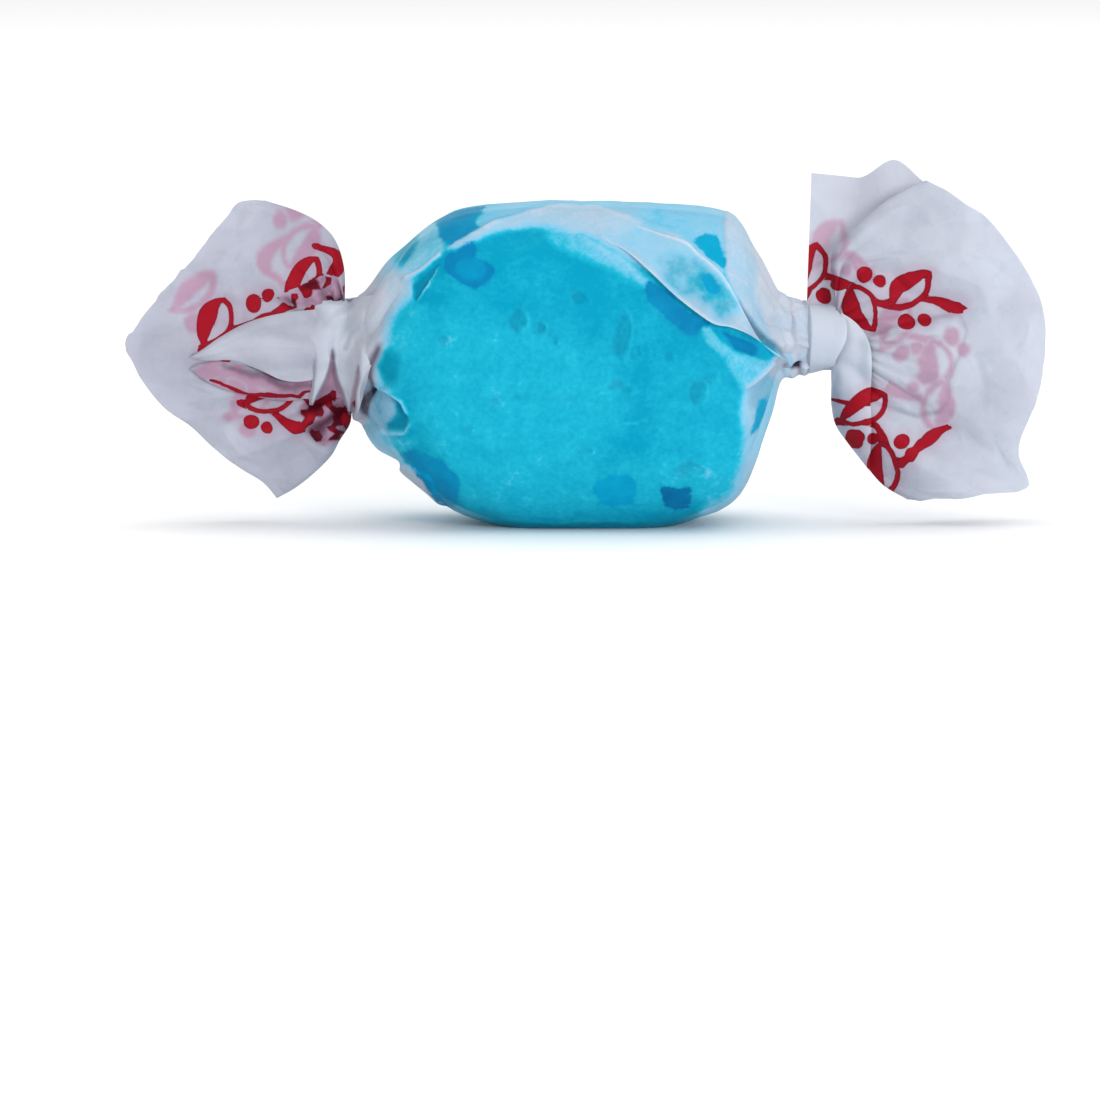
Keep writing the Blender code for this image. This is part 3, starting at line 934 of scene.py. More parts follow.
def core_grid():
    """Taffy inside the paper: the same sections, rounded off at both ends."""
    rows = smooth_rows(SECTIONS, 8)
    low, high = CORE_ENDS
    bend = np.linspace(0.0, math.pi / 2, CORE_END_RINGS)
    left_end = low + (1 - np.cos(bend)) * CORE_END_RADIUS
    right_end = high - (1 - np.sin(bend)) * CORE_END_RADIUS
    between = np.linspace(left_end[-1] + CORE_RING_GAP, right_end[0] - CORE_RING_GAP, CORE_RINGS)
    angle = full_turn(CORE_POINTS)
    rings = []
    for x in np.concatenate((left_end, between, right_end)):
        edge = min(1.0, (x - low) / CORE_END_RADIUS, (high - x) / CORE_END_RADIUS)
        size = math.sqrt(max(1.0 - (1.0 - edge) ** 2, 0.0)) ** 0.8
        rings.append(section_ring(rows, x, angle, CORE_INSET, size))
    grid = np.array(rings)
    grid[..., 2] = np.maximum(grid[..., 2], CORE_FLOOR_CLEARANCE)
    return grid


# Tails


def edge_offset(edge, root_end, rim_end, out):
    """How far a tail's drawn edge lies from the straight line between its root and its rim."""
    straight = root_end + out * (rim_end - root_end)
    return (on_polyline(curve(edge), out[:, 0]) - straight)[:, None, :]


def tail_face(tail, angle, share, out):
    """Places of a tail's points in the picture plane, between its drawn edges, and the length of its rim."""
    root_x, root_z = tail["root"]
    half_height = tail["root_half_height"]
    root = np.stack((np.full(share.shape, root_x), root_z + half_height * np.cos(angle)), axis=-1)
    rim_line = curve(tail["rim"])
    steps, _ = lengths_along(rim_line)
    length = steps.sum()
    along = share[0] * length
    waver = facets(tail["seed"] + RIM_SEED, 0.9, (0.0, 0.0), (length, 1.0), along, 0.0 * along)
    rim = on_polyline(rim_line, share[0]) + RIM_WAVER * np.stack((waver, -waver), axis=-1)
    top = edge_offset(tail["top_edge"], np.array((root_x, root_z + half_height)), rim_line[0], out)
    foot = edge_offset(tail["foot_edge"], np.array((root_x, root_z - half_height)), rim_line[-1], out)
    top_pull = fall(0.0, EDGE_REACH, share)[..., None]
    foot_pull = ease(1.0 - EDGE_REACH, 1.0, share)[..., None]
    return root + out[..., None] * (rim - root) + top_pull * top + foot_pull * foot, length


def tail_grid(tail, steps, points, reach=1.0, narrow=1.0, seed=0):
    """Bell of paper from the neck out to the rim: rings of points."""
    angle = full_turn(points)[None, :]
    out = np.linspace(0.0, reach, steps + 1)[:, None]
    share = (1.0 - np.cos(angle)) / 2
    side = np.sin(angle)
    face, length = tail_face(tail, angle, share, out)
    opening = tail["root_half_depth"] + (tail["mouth_half_depth"] - tail["root_half_depth"]) * out
    waves, wave_height, wave_phase = tail["waves"]
    wave = wave_height * out * side ** 2 * np.cos(math.tau * waves * share + wave_phase + seed)
    y = -narrow * (opening * side + wave)
    rise = np.sin(math.pi * (PLEAT_START + PLEAT_RUN * out))
    for place, half_width, height in tail["pleats"]:
        y -= narrow * ease(0.0, 0.5, side) * height * rise * hump(share, place, half_width)
    run = np.broadcast_to(np.where(side >= 0, share, 2.0 - share) * length, y.shape)
    net = ((0.0, 0.0), (2 * length, TAIL_RUN + 2.0), run, np.broadcast_to(out * TAIL_RUN, y.shape))
    crumple = sum(
        height * facets(tail["seed"] + seed + number, spacing, *net)
        for number, (spacing, height) in enumerate(TAIL_CRUMPLES)
    )
    flatten = ease(0.0, 0.35, np.abs(side))
    y += flatten * narrow * (0.35 + 0.65 * out) * crumple
    gathers = fold(run * 2.4 + 1.5 * np.sin(run * 0.35))
    gathers = gathers * ease(0.0, 0.08, out) * fall(0.15, 0.75, out)
    return behind(face, y - tail["gathers"] * np.sign(side) * flatten * gathers)


def back_sheet_grid():
    """Free end of the sheet behind the right tail, between two leaning sides."""
    left_foot, left_top = np.array(BACK_SHEET["left"])
    right_foot, right_top = np.array(BACK_SHEET["right"])
    peak_place, peak_half_width, peak_height = BACK_SHEET["peak"]
    up = np.linspace(0.0, 1.0, 81)[:, None, None]
    across = np.linspace(0.0, 1.0, 61)[None, :, None]
    left = left_foot + up * (left_top - left_foot)
    right = right_foot + up * (right_top - right_foot)
    grid = left + across * (right - left)
    grid[..., 2] += (up[..., 0] ** 4) * peak_height * hump(across[..., 0], peak_place, peak_half_width)
    grid[..., 1] += BACK_SHEET["wave"] * up[..., 0] * np.sin(math.tau * across[..., 0])
    grid[..., 1] += 0.28 * facets(41, 2.6, (12.0, 8.0), (28.0, 27.0), grid[..., 0], grid[..., 2])
    return grid


# Flaps laid over other paper


class FrontMap:
    """Depth of the nearest surface seen from the front, on a net of cells in the picture plane."""

    CELL = 0.2
    MARGIN = 15
    DEEPEST = 0.5

    def __init__(self, *grids):
        points = np.concatenate([grid.reshape(-1, 3) for grid in grids])
        points = points[points[:, 1] < self.DEEPEST]
        xs, zs = seen(points)
        self.low = np.array((xs.min(), zs.min())) - self.MARGIN * self.CELL
        columns = ((xs - self.low[0]) / self.CELL).astype(int)
        rows = ((zs - self.low[1]) / self.CELL).astype(int)
        net = np.full((columns.max() + self.MARGIN, rows.max() + self.MARGIN), np.inf)
        np.minimum.at(net, (columns, rows), points[:, 1])
        for _ in range(self.MARGIN):
            near = self.neighbours(net)
            known = np.isfinite(near)
            count = known.sum(axis=0)
            total = np.where(known, near, 0.0).sum(axis=0)
            net = np.where(np.isfinite(net) | (count == 0), net, total / np.maximum(count, 1))
        net = np.where(np.isfinite(net), net, 0.0)
        net = self.neighbours(net).min(axis=0)
        for _ in range(2):
            net = self.neighbours(net).mean(axis=0)
        self.net = net

    @staticmethod
    def neighbours(net):
        wide = np.pad(net, 1, mode="edge")
        width, height = net.shape
        return np.stack([wide[i : i + width, j : j + height] for i in range(3) for j in range(3)])

    def depth(self, plane):
        place = (plane - self.low) / self.CELL - 0.5
        place = np.clip(place, 0, np.array(self.net.shape) - 2)
        corner = place.astype(int)
        part = place - corner
        i, j = corner[..., 0], corner[..., 1]
        fi, fj = part[..., 0], part[..., 1]
        low = self.net[i, j] * (1 - fi) + self.net[i + 1, j] * fi
        high = self.net[i, j + 1] * (1 - fi) + self.net[i + 1, j + 1] * fi
        return low * (1 - fj) + high * fj


def flap(under, lines, along_steps, across_steps, rise):
    """Flap between two lines of pixels, over the paper under it; rise(along, across, plane) is its height."""
    shares = (np.linspace(0.0, 1.0, steps + 1) for steps in (along_steps, across_steps))
    along, across = np.meshgrid(*shares, indexing="ij")
    first, second = (on_polyline(curve(line), along[:, 0]) for line in lines)
    plane = first[:, None, :] + across[..., None] * (second - first)[:, None, :]
    return behind(plane, under.depth(plane) - rise(along, across, plane))


def mirrored(grid):
    return grid * (1.0, -1.0, 1.0)


def band_rise(along, across, plane):
    """Band tucked in along its crease and standing off along its free edge, which starts flush."""
    open_edge = ease(0.0, 0.32, along) * (1.0 - 0.6 * ease(0.80, 1.0, along))
    swell = 0.36 + 0.42 * across + 0.07 * crumpled("band", *np.moveaxis(plane, -1, 0))
    bulge = 0.16 * np.sin(math.pi * across) * open_edge
    stand = 0.16 * ease(0.4, 0.7, along) * (1.0 - across)
    return -0.30 + swell * open_edge + bulge + stand


def dome(height, edge, wrinkles=0.0):
    """Rise of a flap that swells between its two sides, with its second side held off by edge."""

    def rise(along, across, plane):
        ends = np.sin(math.pi * np.clip(0.04 + 0.92 * along, 0.0, 1.0)) ** 0.5
        swell = height * np.sin(math.pi * np.clip(across, 0.0, 1.0)) ** 0.8
        uneven = 0.08 * crumpled("flaps", *np.moveaxis(plane, -1, 0))
        lines = fold(math.tau * 2.5 * across + 3.0 * np.sin(4.0 * along) + 1.0)
        lines = wrinkles * (1.0 - 0.6 * along) * lines
        return -0.05 + ends * (swell + edge * across + uneven + lines)

    return rise


def neck_gap(x, z):
    """Signed distance to the gaps between the pleats of the left neck."""
    return np.minimum.reduce([blob_distance(x, z, corners) for corners in NECK_GAPS.values()])


def neck_creased(x, z):
    """1 in the creases of the left neck, fading towards their ends."""
    depth = np.zeros(x.shape)
    for crease in NECK_CREASES:
        away, _, share = line_field(x, z, picture(*crease))
        depth = np.maximum(depth, fall(0.0, 0.35, away) * (1.0 - 0.8 * share))
    return depth


def neck_rise(along, across, plane):
    """Left neck: smooth above, pleats and gaps below, flush with the tail's lobe and the log."""
    x, z = np.moveaxis(plane, -1, 0)
    edge = blob_distance(x, z, NECK_OUTLINE)
    height = 0.05 + 0.60 * pillow(edge, 1.1) + 0.06 * crumpled("left neck", x, z) - 0.22 * neck_creased(x, z)
    inside = fall(-0.30, 0.10, neck_gap(x, z))
    height = height * (1.0 - inside) + (0.10 - 0.9 * ease(0.86, 1.0, along)) * inside
    flush_left = fall(-19.6, -16.6, x) * ease(10.6, 12.2, z)
    flush_right = ease(-16.3, -13.8, x) * ease(9.4, 12.6, z)
    for flush, depth in ((flush_left, 0.9), (flush_right, 1.0)):
        height = height * (1.0 - flush) - depth * flush
    return np.where(edge > 0.0, np.minimum(height, 0.05 - 2.5 * edge), height)


# Collar of paper round the right neck: start, middle and half sizes, and free edge in pixels, bottom to top
COLLAR_START = 15.3
COLLAR_MIDDLE = 12.6
COLLAR_HALF_DEPTH = 2.75
COLLAR_HALF_HEIGHTS = (2.42, 2.12)
COLLAR_EDGE = ((831, 373), (832, 365), (834, 356), (839, 346), (843, 336), (844, 326), (842, 317), (834, 308))


def collar_grid(steps=46, points=160):
    """Smooth collar, tucked in at its start, with its free edge standing off the tail."""
    angle = full_turn(points)[None, :]
    along = np.linspace(0.0, 1.0, steps + 1)[:, None]
    first, last = COLLAR_HALF_HEIGHTS
    wave = 0.04 * np.sin(3 * angle + 4 * along) + 0.02 * np.sin(7 * angle - 3 * along + 1.0)
    swell = wave - 0.45 * fall(0.0, 0.14, along) + 0.10 * ease(0.6, 1.0, along)
    y = (COLLAR_HALF_DEPTH + swell) * np.cos(angle)
    z = COLLAR_MIDDLE + (first + (last - first) * along + swell) * np.sin(angle)
    edge = smooth_rows(picture(*COLLAR_EDGE), 4)
    x = COLLAR_START + along * (np.interp(z[-1:], edge[:, 1], edge[:, 0]) - COLLAR_START)
    return np.stack((x, y, z), axis=-1)


# Print


PRINT_PITCH = 3.3
STEM = 0.24
BERRY_RADIUS = 0.56
BERRY_STANDOFF = 1.0
BERRY_STEP = 1.15
LEAF_LENGTH = 3.7
LEAF_WIDTH = 2.3
LEAF_STANDOFF = 1.1
LEAF_RIM = 0.36
LEAF_END = 2.3


def vine(x, z, path):
    """Signed distance, negative inside, to a printed vine of berries and leaves along a path."""
    path = smooth_rows(picture(*path), 5)
    steps, _ = lengths_along(path)
    length = steps.sum()
    away, side, share = line_field(x, z, path)
    reached = share * length
    swell = 0.5 - 0.5 * np.cos(math.tau * reached / PRINT_PITCH + 1.0)
    distance = np.abs(away * side - 0.30 * np.sin(math.pi * reached / PRINT_PITCH)) - STEM - 0.22 * swell
    beyond = (share <= 0.0) | (share >= 1.0)
    distance = np.where(beyond, np.maximum(distance, away - 0.2), distance)
    bend = (LEAF_LENGTH ** 2 + LEAF_WIDTH ** 2) / (4 * LEAF_WIDTH)
    for number in range(max(int((length - LEAF_END) / PRINT_PITCH + 0.6), 1)):
        middle = (number + 0.4) * PRINT_PITCH
        before, here, after = on_polyline(path, np.array((middle - 0.6, middle, middle + 0.6)) / length)
        way_x, way_z = (after - before) / np.linalg.norm(after - before)
        u = (x - here[0]) * way_x + (z - here[1]) * way_z
        v = (z - here[1]) * way_x - (x - here[0]) * way_z
        flip = 1.0 if number % 2 else -1.0
        for step, size in ((0.0, 1.0), (BERRY_STEP, 0.8)):
            berry = np.hypot(u - step, v - flip * BERRY_STANDOFF) - BERRY_RADIUS * size
            distance = np.minimum(distance, berry)
        lean_u = (u - 0.5) * 0.8 - flip * (v + flip * LEAF_STANDOFF) * 0.6
        lean_v = (u - 0.5) * 0.6 * flip + (v + flip * LEAF_STANDOFF) * 0.8
        leaf = np.hypot(lean_u, np.abs(lean_v) + bend - LEAF_WIDTH / 2) - bend
        filled = np.minimum(-leaf - LEAF_RIM, flip * lean_v)
        distance = np.minimum(np.maximum(distance, -leaf), np.maximum(leaf, filled))
    return distance


def stripe(x, z, path, half_width):
    away, _, share = line_field(x, z, picture(*path))
    return away - half_width * (0.5 + np.sin(math.pi * share) * 0.5)


# Paths of the printed vine, in pixels: ink on the outside, and ink seen through the paper from its other side
RIGHT_PRINT = (
    ((803, 300), (826, 280), (862, 292), (900, 306), (935, 298), (966, 306)),
    ((836, 424), (872, 428), (896, 458), (925, 446), (950, 430)),
)
RIGHT_GHOST = (
    ((808, 268), (845, 258), (880, 280)),
    ((878, 350), (905, 338), (940, 346), (946, 372), (922, 396), (884, 392)),
)
LEFT_PRINT = (
    ((200, 350), (238, 328), (280, 308), (316, 292), (334, 262), (314, 246)),
    ((238, 402), (272, 416), (305, 424), (332, 414)),
)
LOBE_STRIPE = ((208, 379), (230, 388), (256, 394), (286, 396), (312, 394))
# Line of painted shade on the lower lobe, under the edge of the upper lobe
LOBE_SHADE = ((224, 364), (238, 367), (261, 376), (283, 387), (312, 388))
LEFT_GHOST = (
    ((320, 222), (288, 234), (268, 256), (284, 288)),
    ((172, 312), (214, 306)),
    ((226, 420), (262, 414)),
)
LOBE_GHOST = ((200, 372), (236, 374), (280, 388), (340, 390))
COMMA_STRIPE = ((830, 399), (850, 404), (874, 405))


def draw_print(grid, inks, ghosts, mask):
    """Signed distances to ink and to ink seen through the paper, both bent by the crumple of the paper."""
    xs, zs = warp("print", *seen(grid))
    ink, ghost = (
        np.minimum.reduce([np.full(xs.shape, FAR), *(vine(xs, zs, path) for path in paths)])
        for paths in (inks, ghosts)
    )
    return np.where(mask, ink, FAR), np.where(mask, ghost, np.minimum(ink, ghost))


def crushed(grid):
    """Signed distance to the places beside the left neck where the printed paper is crushed together."""
    return np.minimum(*(blob_distance(*seen(grid), corners) for corners in CRUSHED.values()))


def crushed_ink(grid, bias=0.0):
    """Dark red facets of the crushed print."""
    return np.maximum(crushed(grid), 0.22 * crumpled("crushed print", *seen(grid)) + bias)


# Meshes


def linked(name, data):
    """New object in the scene."""
    made = bpy.data.objects.new(name, data)
    bpy.context.scene.collection.objects.link(made)
    return made


class Sheet:
    """Collects grids of points with their values into one mesh."""

    # What a point has where no value is given
    VALUES = {"loose": 1.0, "tone": 0.0, "wet": FAR, "stain": 0.0, "ink": FAR, "ghost": FAR}

    def __init__(self):
        self.points = []
        self.faces = []
        self.values = {name: [] for name in self.VALUES}
        self.count = 0

    def add(self, grid, ring=False, **values):
        """Adds a grid, closed to a ring if wanted; values that a sheet doesn't keep are left out."""
        rows, columns = grid.shape[:2]
        row = np.arange(rows - 1)[:, None] * columns + self.count
        column = np.arange(columns if ring else columns - 1)[None, :]
        following = (column + 1) % columns
        corners = (row + column, row + following, row + columns + following, row + columns + column)
        self.faces += np.stack(corners, axis=-1).reshape(-1, 4).tolist()
        self.points.append(grid.reshape(-1, 3))
        for name, plain in self.VALUES.items():
            self.values[name].append(np.broadcast_to(values.get(name, plain), (rows, columns)).reshape(-1))
        self.count += rows * columns

    def build(self, name, material):
        mesh = bpy.data.meshes.new(name)
        mesh.from_pydata(np.concatenate(self.points) * MM, [], self.faces)
        mesh.validate()
        for key, parts in self.values.items():
            layer = mesh.attributes.new(key, "FLOAT", "POINT")
            layer.data.foreach_set("value", np.concatenate(parts).astype(np.float32))
        mesh.shade_smooth()
        mesh.materials.append(material)
        return linked(name, mesh)


# Materials


class Shader:
    """Short hand for making a material's nodes; values are sockets, numbers or colours."""

    def __init__(self, name):
        self.material = bpy.data.materials.new(name)
        self.material.use_nodes = True
        self.tree = self.material.node_tree
        self.tree.nodes.clear()

    def add(self, kind, inputs=None, **settings):
        made = self.tree.nodes.new(kind)
        for key, value in settings.items():
            setattr(made, key, value)
        for key, value in (inputs or {}).items():
            if isinstance(value, bpy.types.NodeSocket):
                self.tree.links.new(value, made.inputs[key])
            else:
                made.inputs[key].default_value = value
        return made

    def maths(self, operation, first, second=0.0, third=0.0):
        return self.add("ShaderNodeMath", {0: first, 1: second, 2: third}, operation=operation).outputs[0]

    def varied(self, name, *noises):
        """Values of the mesh under a name, with an amount of each noise, which runs about one half, added."""
        value = self.add("ShaderNodeAttribute", attribute_name=name).outputs["Fac"]
        for noise, amount in noises:
            value = self.maths("MULTIPLY_ADD", self.maths("SUBTRACT", noise, 0.5), amount, value)
        return value

    def slope(self, value, low, high, to_low=0.0, to_high=1.0, kind="LINEAR"):
        """Value between low and high, carried over to between to_low and to_high."""
        ends = {"Value": value, "From Min": low, "From Max": high, "To Min": to_low, "To Max": to_high}
        return self.add("ShaderNodeMapRange", ends, interpolation_type=kind).outputs["Result"]

    def spread(self, value, low, high, to_low=0.0, to_high=1.0):
        """The same as slope(), with soft ends."""
        return self.slope(value, low, high, to_low, to_high, "SMOOTHSTEP")

    def mix(self, share, first, second):
        return self.add("ShaderNodeMix", {0: share, 6: first, 7: second}, data_type="RGBA").outputs[2]

    def ramp(self, value, stops):
        made = self.add("ShaderNodeValToRGB", {"Fac": value})
        elements = made.color_ramp.elements
        while len(elements) < len(stops):
            elements.new(0.5)
        for element, (place, colour) in zip(elements, stops):
            element.position = place
            element.color = colour
        return made.outputs["Color"]

    def noise(self, size, detail, roughness):
        place = self.add("ShaderNodeTexCoord").outputs["Object"]
        values = {"Vector": place, "Scale": 1.0 / (size * MM), "Detail": detail, "Roughness": roughness}
        return self.add("ShaderNodeTexNoise", values).outputs["Fac"]

    def bump(self, height, strength):
        values = {"Height": height, "Strength": strength, "Distance": BUMP_HEIGHT}
        return self.add("ShaderNodeBump", values).outputs[0]

    def gloss(self, colour, roughness, normal):
        values = {"Base Color": colour, "Roughness": roughness, "Normal": normal, "Specular IOR Level": SHINE}
        return self.add("ShaderNodeBsdfPrincipled", values).outputs[0]

    def blend(self, share, first, second):
        return self.add("ShaderNodeMixShader", {0: share, 1: first, 2: second}).outputs[0]

    def surface(self, shader):
        self.add("ShaderNodeOutputMaterial", {"Surface": shader})
        return self.material


def wax_paper():
    """Translucent paper: blue on the taffy, whiter where loose, with print on it and seen through it, and
    with painted shade and highlight.
    """
    shader = Shader("wax_paper")
    cloud = shader.noise(*CLOUD)
    grain = shader.noise(*GRAIN)
    fibre = shader.noise(*FIBRE)
    loose = shader.varied("loose", (cloud, 0.34), (grain, 0.31))
    tone = shader.varied("tone", (cloud, 0.30))
    colour = shader.ramp(loose, PAPER_COLOURS)
    # Painted shade where the painted shading is below 0, darkest in holes, and a painted highlight where it
    # is above 0.1
    shade = shader.mix(shader.spread(loose, 0.1, 0.7), DEEP_SHADE, PALE_SHADE)
    colour = shader.mix(shader.slope(tone, -0.05, -1.0, 0.0, 0.75), colour, shade)
    colour = shader.mix(shader.slope(tone, -1.0, -2.0), colour, HOLE_SHADE)
    colour = shader.mix(shader.slope(tone, 0.1, 1.0, 0.0, 0.4), colour, HIGHLIGHT)
    wet = shader.spread(shader.varied("wet", (cloud, 0.7), (grain, 0.3)), 0.10, -0.16)
    stain = shader.varied("stain", (cloud, 0.9))
    wet_colour = shader.mix(shader.slope(stain, 0.0, -1.0), WET_BLUE, WET_SHADE)
    wet_colour = shader.mix(shader.slope(stain, 0.0, 1.0), wet_colour, PAPER_ON_TAFFY)
    colour = shader.mix(wet, colour, wet_colour)
    halo = shader.spread(shader.varied("ink"), 0.9, 0.0, 0.0, 0.28)
    ghost = shader.spread(shader.varied("ghost", (cloud, 0.5)), 0.30, -0.20, 0.0, 0.68)
    # The print seen through the paper darkens under painted shade
    ghost_colour = shader.mix(shader.spread(tone, -0.8, -1.6), PINK_GHOST, GHOST_SHADE)
    colour = shader.mix(shader.maths("MAXIMUM", halo, ghost), colour, ghost_colour)
    ink_distance = shader.varied("ink", (grain, 0.07))
    ink = shader.spread(ink_distance, 0.03, -0.03)
    ink_colour = shader.mix(shader.spread(ink_distance, -0.12, -0.01, 0.0, 0.6), RED_INK, DARK_INK)
    # Ink darkens under painted shade too, as in the crushed print
    ink_colour = shader.mix(shader.spread(tone, -0.7, -1.3), ink_colour, DARK_INK)
    colour = shader.mix(ink, colour, ink_colour)
    cover = shader.maths("MULTIPLY_ADD", wet, WET_COVER, shader.slope(loose, 0.0, 1.0, *COVER))
    cover = shader.maths("MAXIMUM", cover, ink)
    bump = shader.bump(shader.maths("MULTIPLY_ADD", fibre, 0.25, grain), 0.4)
    paper = shader.gloss(colour, shader.slope(grain, 0.3, 0.7, *ROUGHNESS), bump)
    glow = shader.add("ShaderNodeBsdfTranslucent", {"Color": colour, "Normal": bump}).outputs[0]
    body = shader.blend(shader.slope(loose, 0.3, 1.0, 0.0, GLOW), paper, glow)
    clear = shader.add("ShaderNodeBsdfTransparent").outputs[0]
    return shader.surface(shader.blend(cover, clear, body))


def blue_taffy():
    shader = Shader("blue_taffy")
    cloud = shader.noise(*TAFFY_CLOUD)
    colour = shader.mix(shader.spread(cloud, 0.3, 0.7), CORE_BLUE, CORE_LIGHT_BLUE)
    return shader.surface(shader.gloss(colour, 0.5, shader.bump(shader.noise(*TAFFY_GRAIN), 0.3)))


def plain_material(name, colour, roughness):
    shader = Shader(name)
    made = shader.add("ShaderNodeBsdfPrincipled", {"Base Color": colour, "Roughness": roughness})
    return shader.surface(made.outputs[0])


# Pieces


def ring_piece(name, grid, material):
    sheet = Sheet()
    sheet.add(grid, ring=True)
    return sheet.build(name, material)


def body_paper(grid, paper, material):
    sheet = Sheet()
    sheet.add(grid, ring=True, **vars(paper))
    # The ends twisted shut inside the mouths get painted shade.
    sheet.add(shut_end(grid[0], 1.0), ring=True, tone=SHUT_PAINTED_SHADE)
    sheet.add(shut_end(grid[-1], -1.0), ring=True, tone=SHUT_PAINTED_SHADE)
    return sheet.build("wax_paper_body", material)


def front_band(skin_map, material):
    """Band of paper folded over the front, with one free edge, and painted highlights along its top and free
    edges.
    """
    grid = flap(skin_map, (BAND_TOP, BAND_EDGE), 190, 36, band_rise)
    xs, zs = warp("band", *seen(grid))
    paper = Paper(xs, zs, loose=0.60)
    paper.paint(BAND_PATCHES)
    paper.soak(BAND_WET)
    blue = blob_distance(xs, zs, BAND_PATCHES["blue through the band"].corners)
    mottle = BAND_MOTTLE * fall(-0.4, 0.8, blue) * crumpled("mottle of the band", xs, zs)
    along, across = (np.linspace(0.0, 1.0, count) for count in grid.shape[:2])
    # Painted highlight along the tucked top edge of the band
    light = BAND_TOP_HIGHLIGHT * hump(across, 0.02, 0.08) * ease(0.0, 0.12, along)[:, None]
    # Painted highlight along the free edge of the band
    free_edge = ease(0.90, 1.0, across)
    paper.loose += mottle + light + 0.15 * free_edge
    paper.tone += mottle + light + 0.55 * free_edge
    sheet = Sheet()
    sheet.add(grid, **vars(paper))
    return sheet.build("wax_paper_band", material)


def faint_facets(grid):
    """Painted shade and highlight of the crumple of a tail, which is too flat to shade itself."""
    return TAIL_SHADE * crumpled("tails", *seen(grid))


def add_inner_layer(sheet, tail, tone):
    """Second, narrower layer of paper inside a tail, with painted shade laid over it."""
    sheet.add(tail_grid(tail, steps=50, points=200, reach=0.92, narrow=0.5, seed=3), ring=True, tone=tone)


def left_tail_paper(material):
    sheet = Sheet()
    bell = tail_grid(LEFT_TAIL, steps=110, points=480)
    front = bell[..., 1] < 0.0
    ink, ghost = draw_print(bell, LEFT_PRINT, LEFT_GHOST, front)
    crush = crushed(bell)
    ink = np.where(front & (crush < 0.0), crushed_ink(bell), ink)
    ghost = np.where(front, np.minimum(ghost, crush + 0.1), ghost)
    dip = fall(-0.4, 0.3, crush) * front
    shade = crumpled("shade of the crushed paper", *seen(bell))
    bell[..., 1] += 0.45 * dip * crumpled("depth of the crushed paper", *seen(bell))
    # Painted shade and highlight on the facets of the crushed paper, over the tail's painted shade
    tone = LEFT_TAIL_PAINTED_SHADE + faint_facets(bell) + dip * (0.85 * shade - 0.45)
    sheet.add(bell, ring=True, ink=ink, ghost=ghost, tone=tone)
    add_inner_layer(sheet, LEFT_TAIL, LEFT_TAIL_PAINTED_SHADE)
    lower = flap(FrontMap(bell), LOWER_LOBE, 120, 40, dome(height=0.35, edge=0.35))
    xs, zs = warp("lower lobe", *seen(lower))
    from_shade, _, _ = line_field(xs, zs, picture(*LOBE_SHADE))
    # Painted shade along the lower lobe, under the edge of the upper lobe
    tone = LEFT_TAIL_PAINTED_SHADE - 0.10 + 2.0 * faint_facets(lower) - 0.60 * fall(0.0, 0.55, from_shade)
    ghost = vine(xs, zs, LOBE_GHOST) - 0.15
    sheet.add(lower, ghost=ghost, ink=stripe(xs, zs, LOBE_STRIPE, 0.15), tone=tone)
    upper = flap(FrontMap(bell, lower), UPPER_LOBE, 130, 64, dome(height=0.60, edge=0.15, wrinkles=0.06))
    sheet.add(upper, tone=UPPER_LOBE_PAINTED_SHADE + faint_facets(upper))
    return sheet.build("wax_paper_left_tail", material), (bell, lower, upper)


def left_neck_paper(skin_grid, tail_grids, material):
    """Pleats round the left neck: the front as the photograph shows it, and the back finished like it."""
    sheet = Sheet()
    near_neck = skin_grid[skin_grid[..., 0] < LEFT_NECK_FROM].reshape(1, -1, 3)
    under_front = FrontMap(near_neck, *tail_grids)
    under_back = FrontMap(mirrored(near_neck), mirrored(tail_grids[0]))
    for under in (under_front, under_back):
        grid = flap(under, NECK_SIDES, 150, 120, neck_rise)
        x, z = seen(grid)
        gap = neck_gap(x, z)
        inside = fall(-0.05, 0.15, gap)
        beside_lobe = fall(-20.0, -16.6, x)
        # Painted shade beside the lobe, in the gaps between the pleats and in the creases, with painted
        # shading of the crumple
        tone = 0.10 * crumpled("shade of the left neck", x, z) - 0.10
        tone -= 0.35 * beside_lobe + 0.9 * inside + 0.30 * neck_creased(x, z)
        low = fall(8.2, 9.4, z)
        ink = np.where(gap < 0.0, crushed_ink(grid, 0.10 - 0.14 * low), FAR)
        sheet.add(grid if under is under_front else mirrored(grid), tone=tone, ghost=gap + 0.15, ink=ink)
    return sheet.build("wax_paper_left_neck", material)


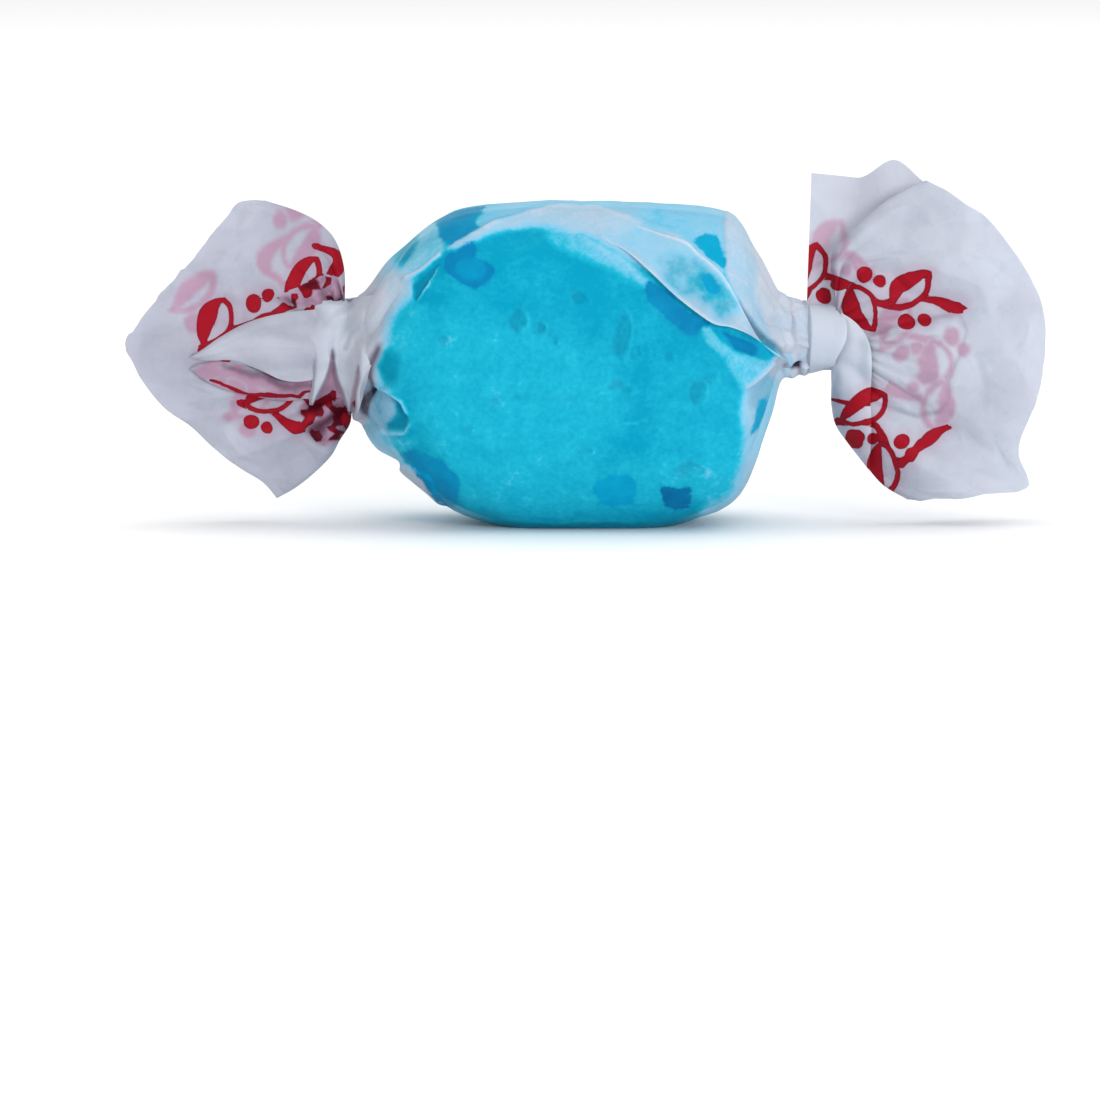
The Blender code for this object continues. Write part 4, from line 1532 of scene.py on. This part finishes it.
def right_tail_paper(skin_grid, material):
    sheet = Sheet()
    bell = tail_grid(RIGHT_TAIL, steps=110, points=480)
    front = bell[..., 1] < 0.0
    pocket = polygon_distance(*seen(bell), picture(*POCKET))
    bell[..., 1] -= np.where(front, 0.60 * pillow(pocket, 0.9), 0.0)
    ink, ghost = draw_print(bell, RIGHT_PRINT, RIGHT_GHOST, front)
    # Painted shade along the rim of the pocket, over the tail's painted shade
    tone = RIGHT_TAIL_PAINTED_SHADE + faint_facets(bell) - np.where(front, 0.40 * hump(pocket, 0.10, 0.18), 0.0)
    sheet.add(bell, ring=True, ink=ink, ghost=ghost, tone=tone)
    add_inner_layer(sheet, RIGHT_TAIL, RIGHT_TAIL_PAINTED_SHADE)
    back = back_sheet_grid()
    ink, ghost = draw_print(back, RIGHT_PRINT, RIGHT_GHOST, True)
    sheet.add(back, ink=ink, ghost=ghost, tone=BACK_SHEET_PAINTED_SHADE + faint_facets(back))
    near_neck = skin_grid[skin_grid[..., 0] > RIGHT_NECK_FROM].reshape(1, -1, 3)
    comma = flap(FrontMap(bell, near_neck), COMMA, 120, 44, dome(height=0.35, edge=0.40))
    ink, _ = draw_print(comma, RIGHT_PRINT[1:], (), True)
    sheet.add(comma, ink=np.minimum(ink, stripe(*seen(comma), COMMA_STRIPE, 0.17)))
    return sheet.build("wax_paper_right_tail", material)


# Stage


def lamp(name, place, size, power):
    data = bpy.data.lights.new(name, "AREA")
    data.shape = "DISK"
    data.size = size
    data.energy = power
    made = linked(name, data)
    made.location = place
    made.rotation_euler = (-Vector(place)).to_track_quat("-Z", "Y").to_euler()


def stage():
    bpy.ops.mesh.primitive_plane_add(size=16.0, location=(0.0, 0.0, -0.00002))
    floor = bpy.context.object
    floor.name = "floor"
    floor.data.materials.append(plain_material("pale_floor", (0.97, 0.97, 0.97, 1.0), 0.8))
    lamp("key", place=(0.42, -0.82, 0.17), size=0.30, power=4.7)
    lamp("overhead", place=(0.3, 0.4, 3.0), size=3.5, power=32.0)
    world = bpy.data.worlds.new("studio")
    world.use_nodes = True
    background = world.node_tree.nodes["Background"]
    background.inputs["Color"].default_value = (1.0, 1.0, 1.0, 1.0)
    background.inputs["Strength"].default_value = 0.86
    bpy.context.scene.world = world
    bpy.context.scene.view_settings.view_transform = "Standard"


def camera():
    data = bpy.data.cameras.new("camera")
    data.sensor_width = 36.0
    data.lens = data.sensor_width * VIEW_DISTANCE / (PICTURE_PIXELS * PIXEL)
    data.clip_start = 0.01
    made = linked("camera", data)
    ((aim_x, aim_z),) = picture((PICTURE_PIXELS / 2, PICTURE_PIXELS / 2))
    back = VIEW_DISTANCE * math.cos(VIEW_LIFT)
    up = VIEW_DISTANCE * math.sin(VIEW_LIFT)
    made.location = (aim_x * MM, -back * MM, (aim_z + up) * MM)
    made.rotation_euler = (math.pi / 2 - VIEW_LIFT, 0.0, 0.0)
    bpy.context.scene.camera = made


camera()
stage()
wax = wax_paper()
body_grid, body_state = skin()
left_tail, left_tail_grids = left_tail_paper(wax)
pieces = [
    ring_piece("taffy", core_grid(), blue_taffy()),
    body_paper(body_grid, body_state, wax),
    front_band(FrontMap(body_grid), wax),
    left_tail,
    left_neck_paper(body_grid, left_tail_grids, wax),
    right_tail_paper(body_grid, wax),
    ring_piece("wax_paper_collar", collar_grid(), wax),
]
for piece in pieces:
    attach(piece, BODY)
    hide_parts(NODE)
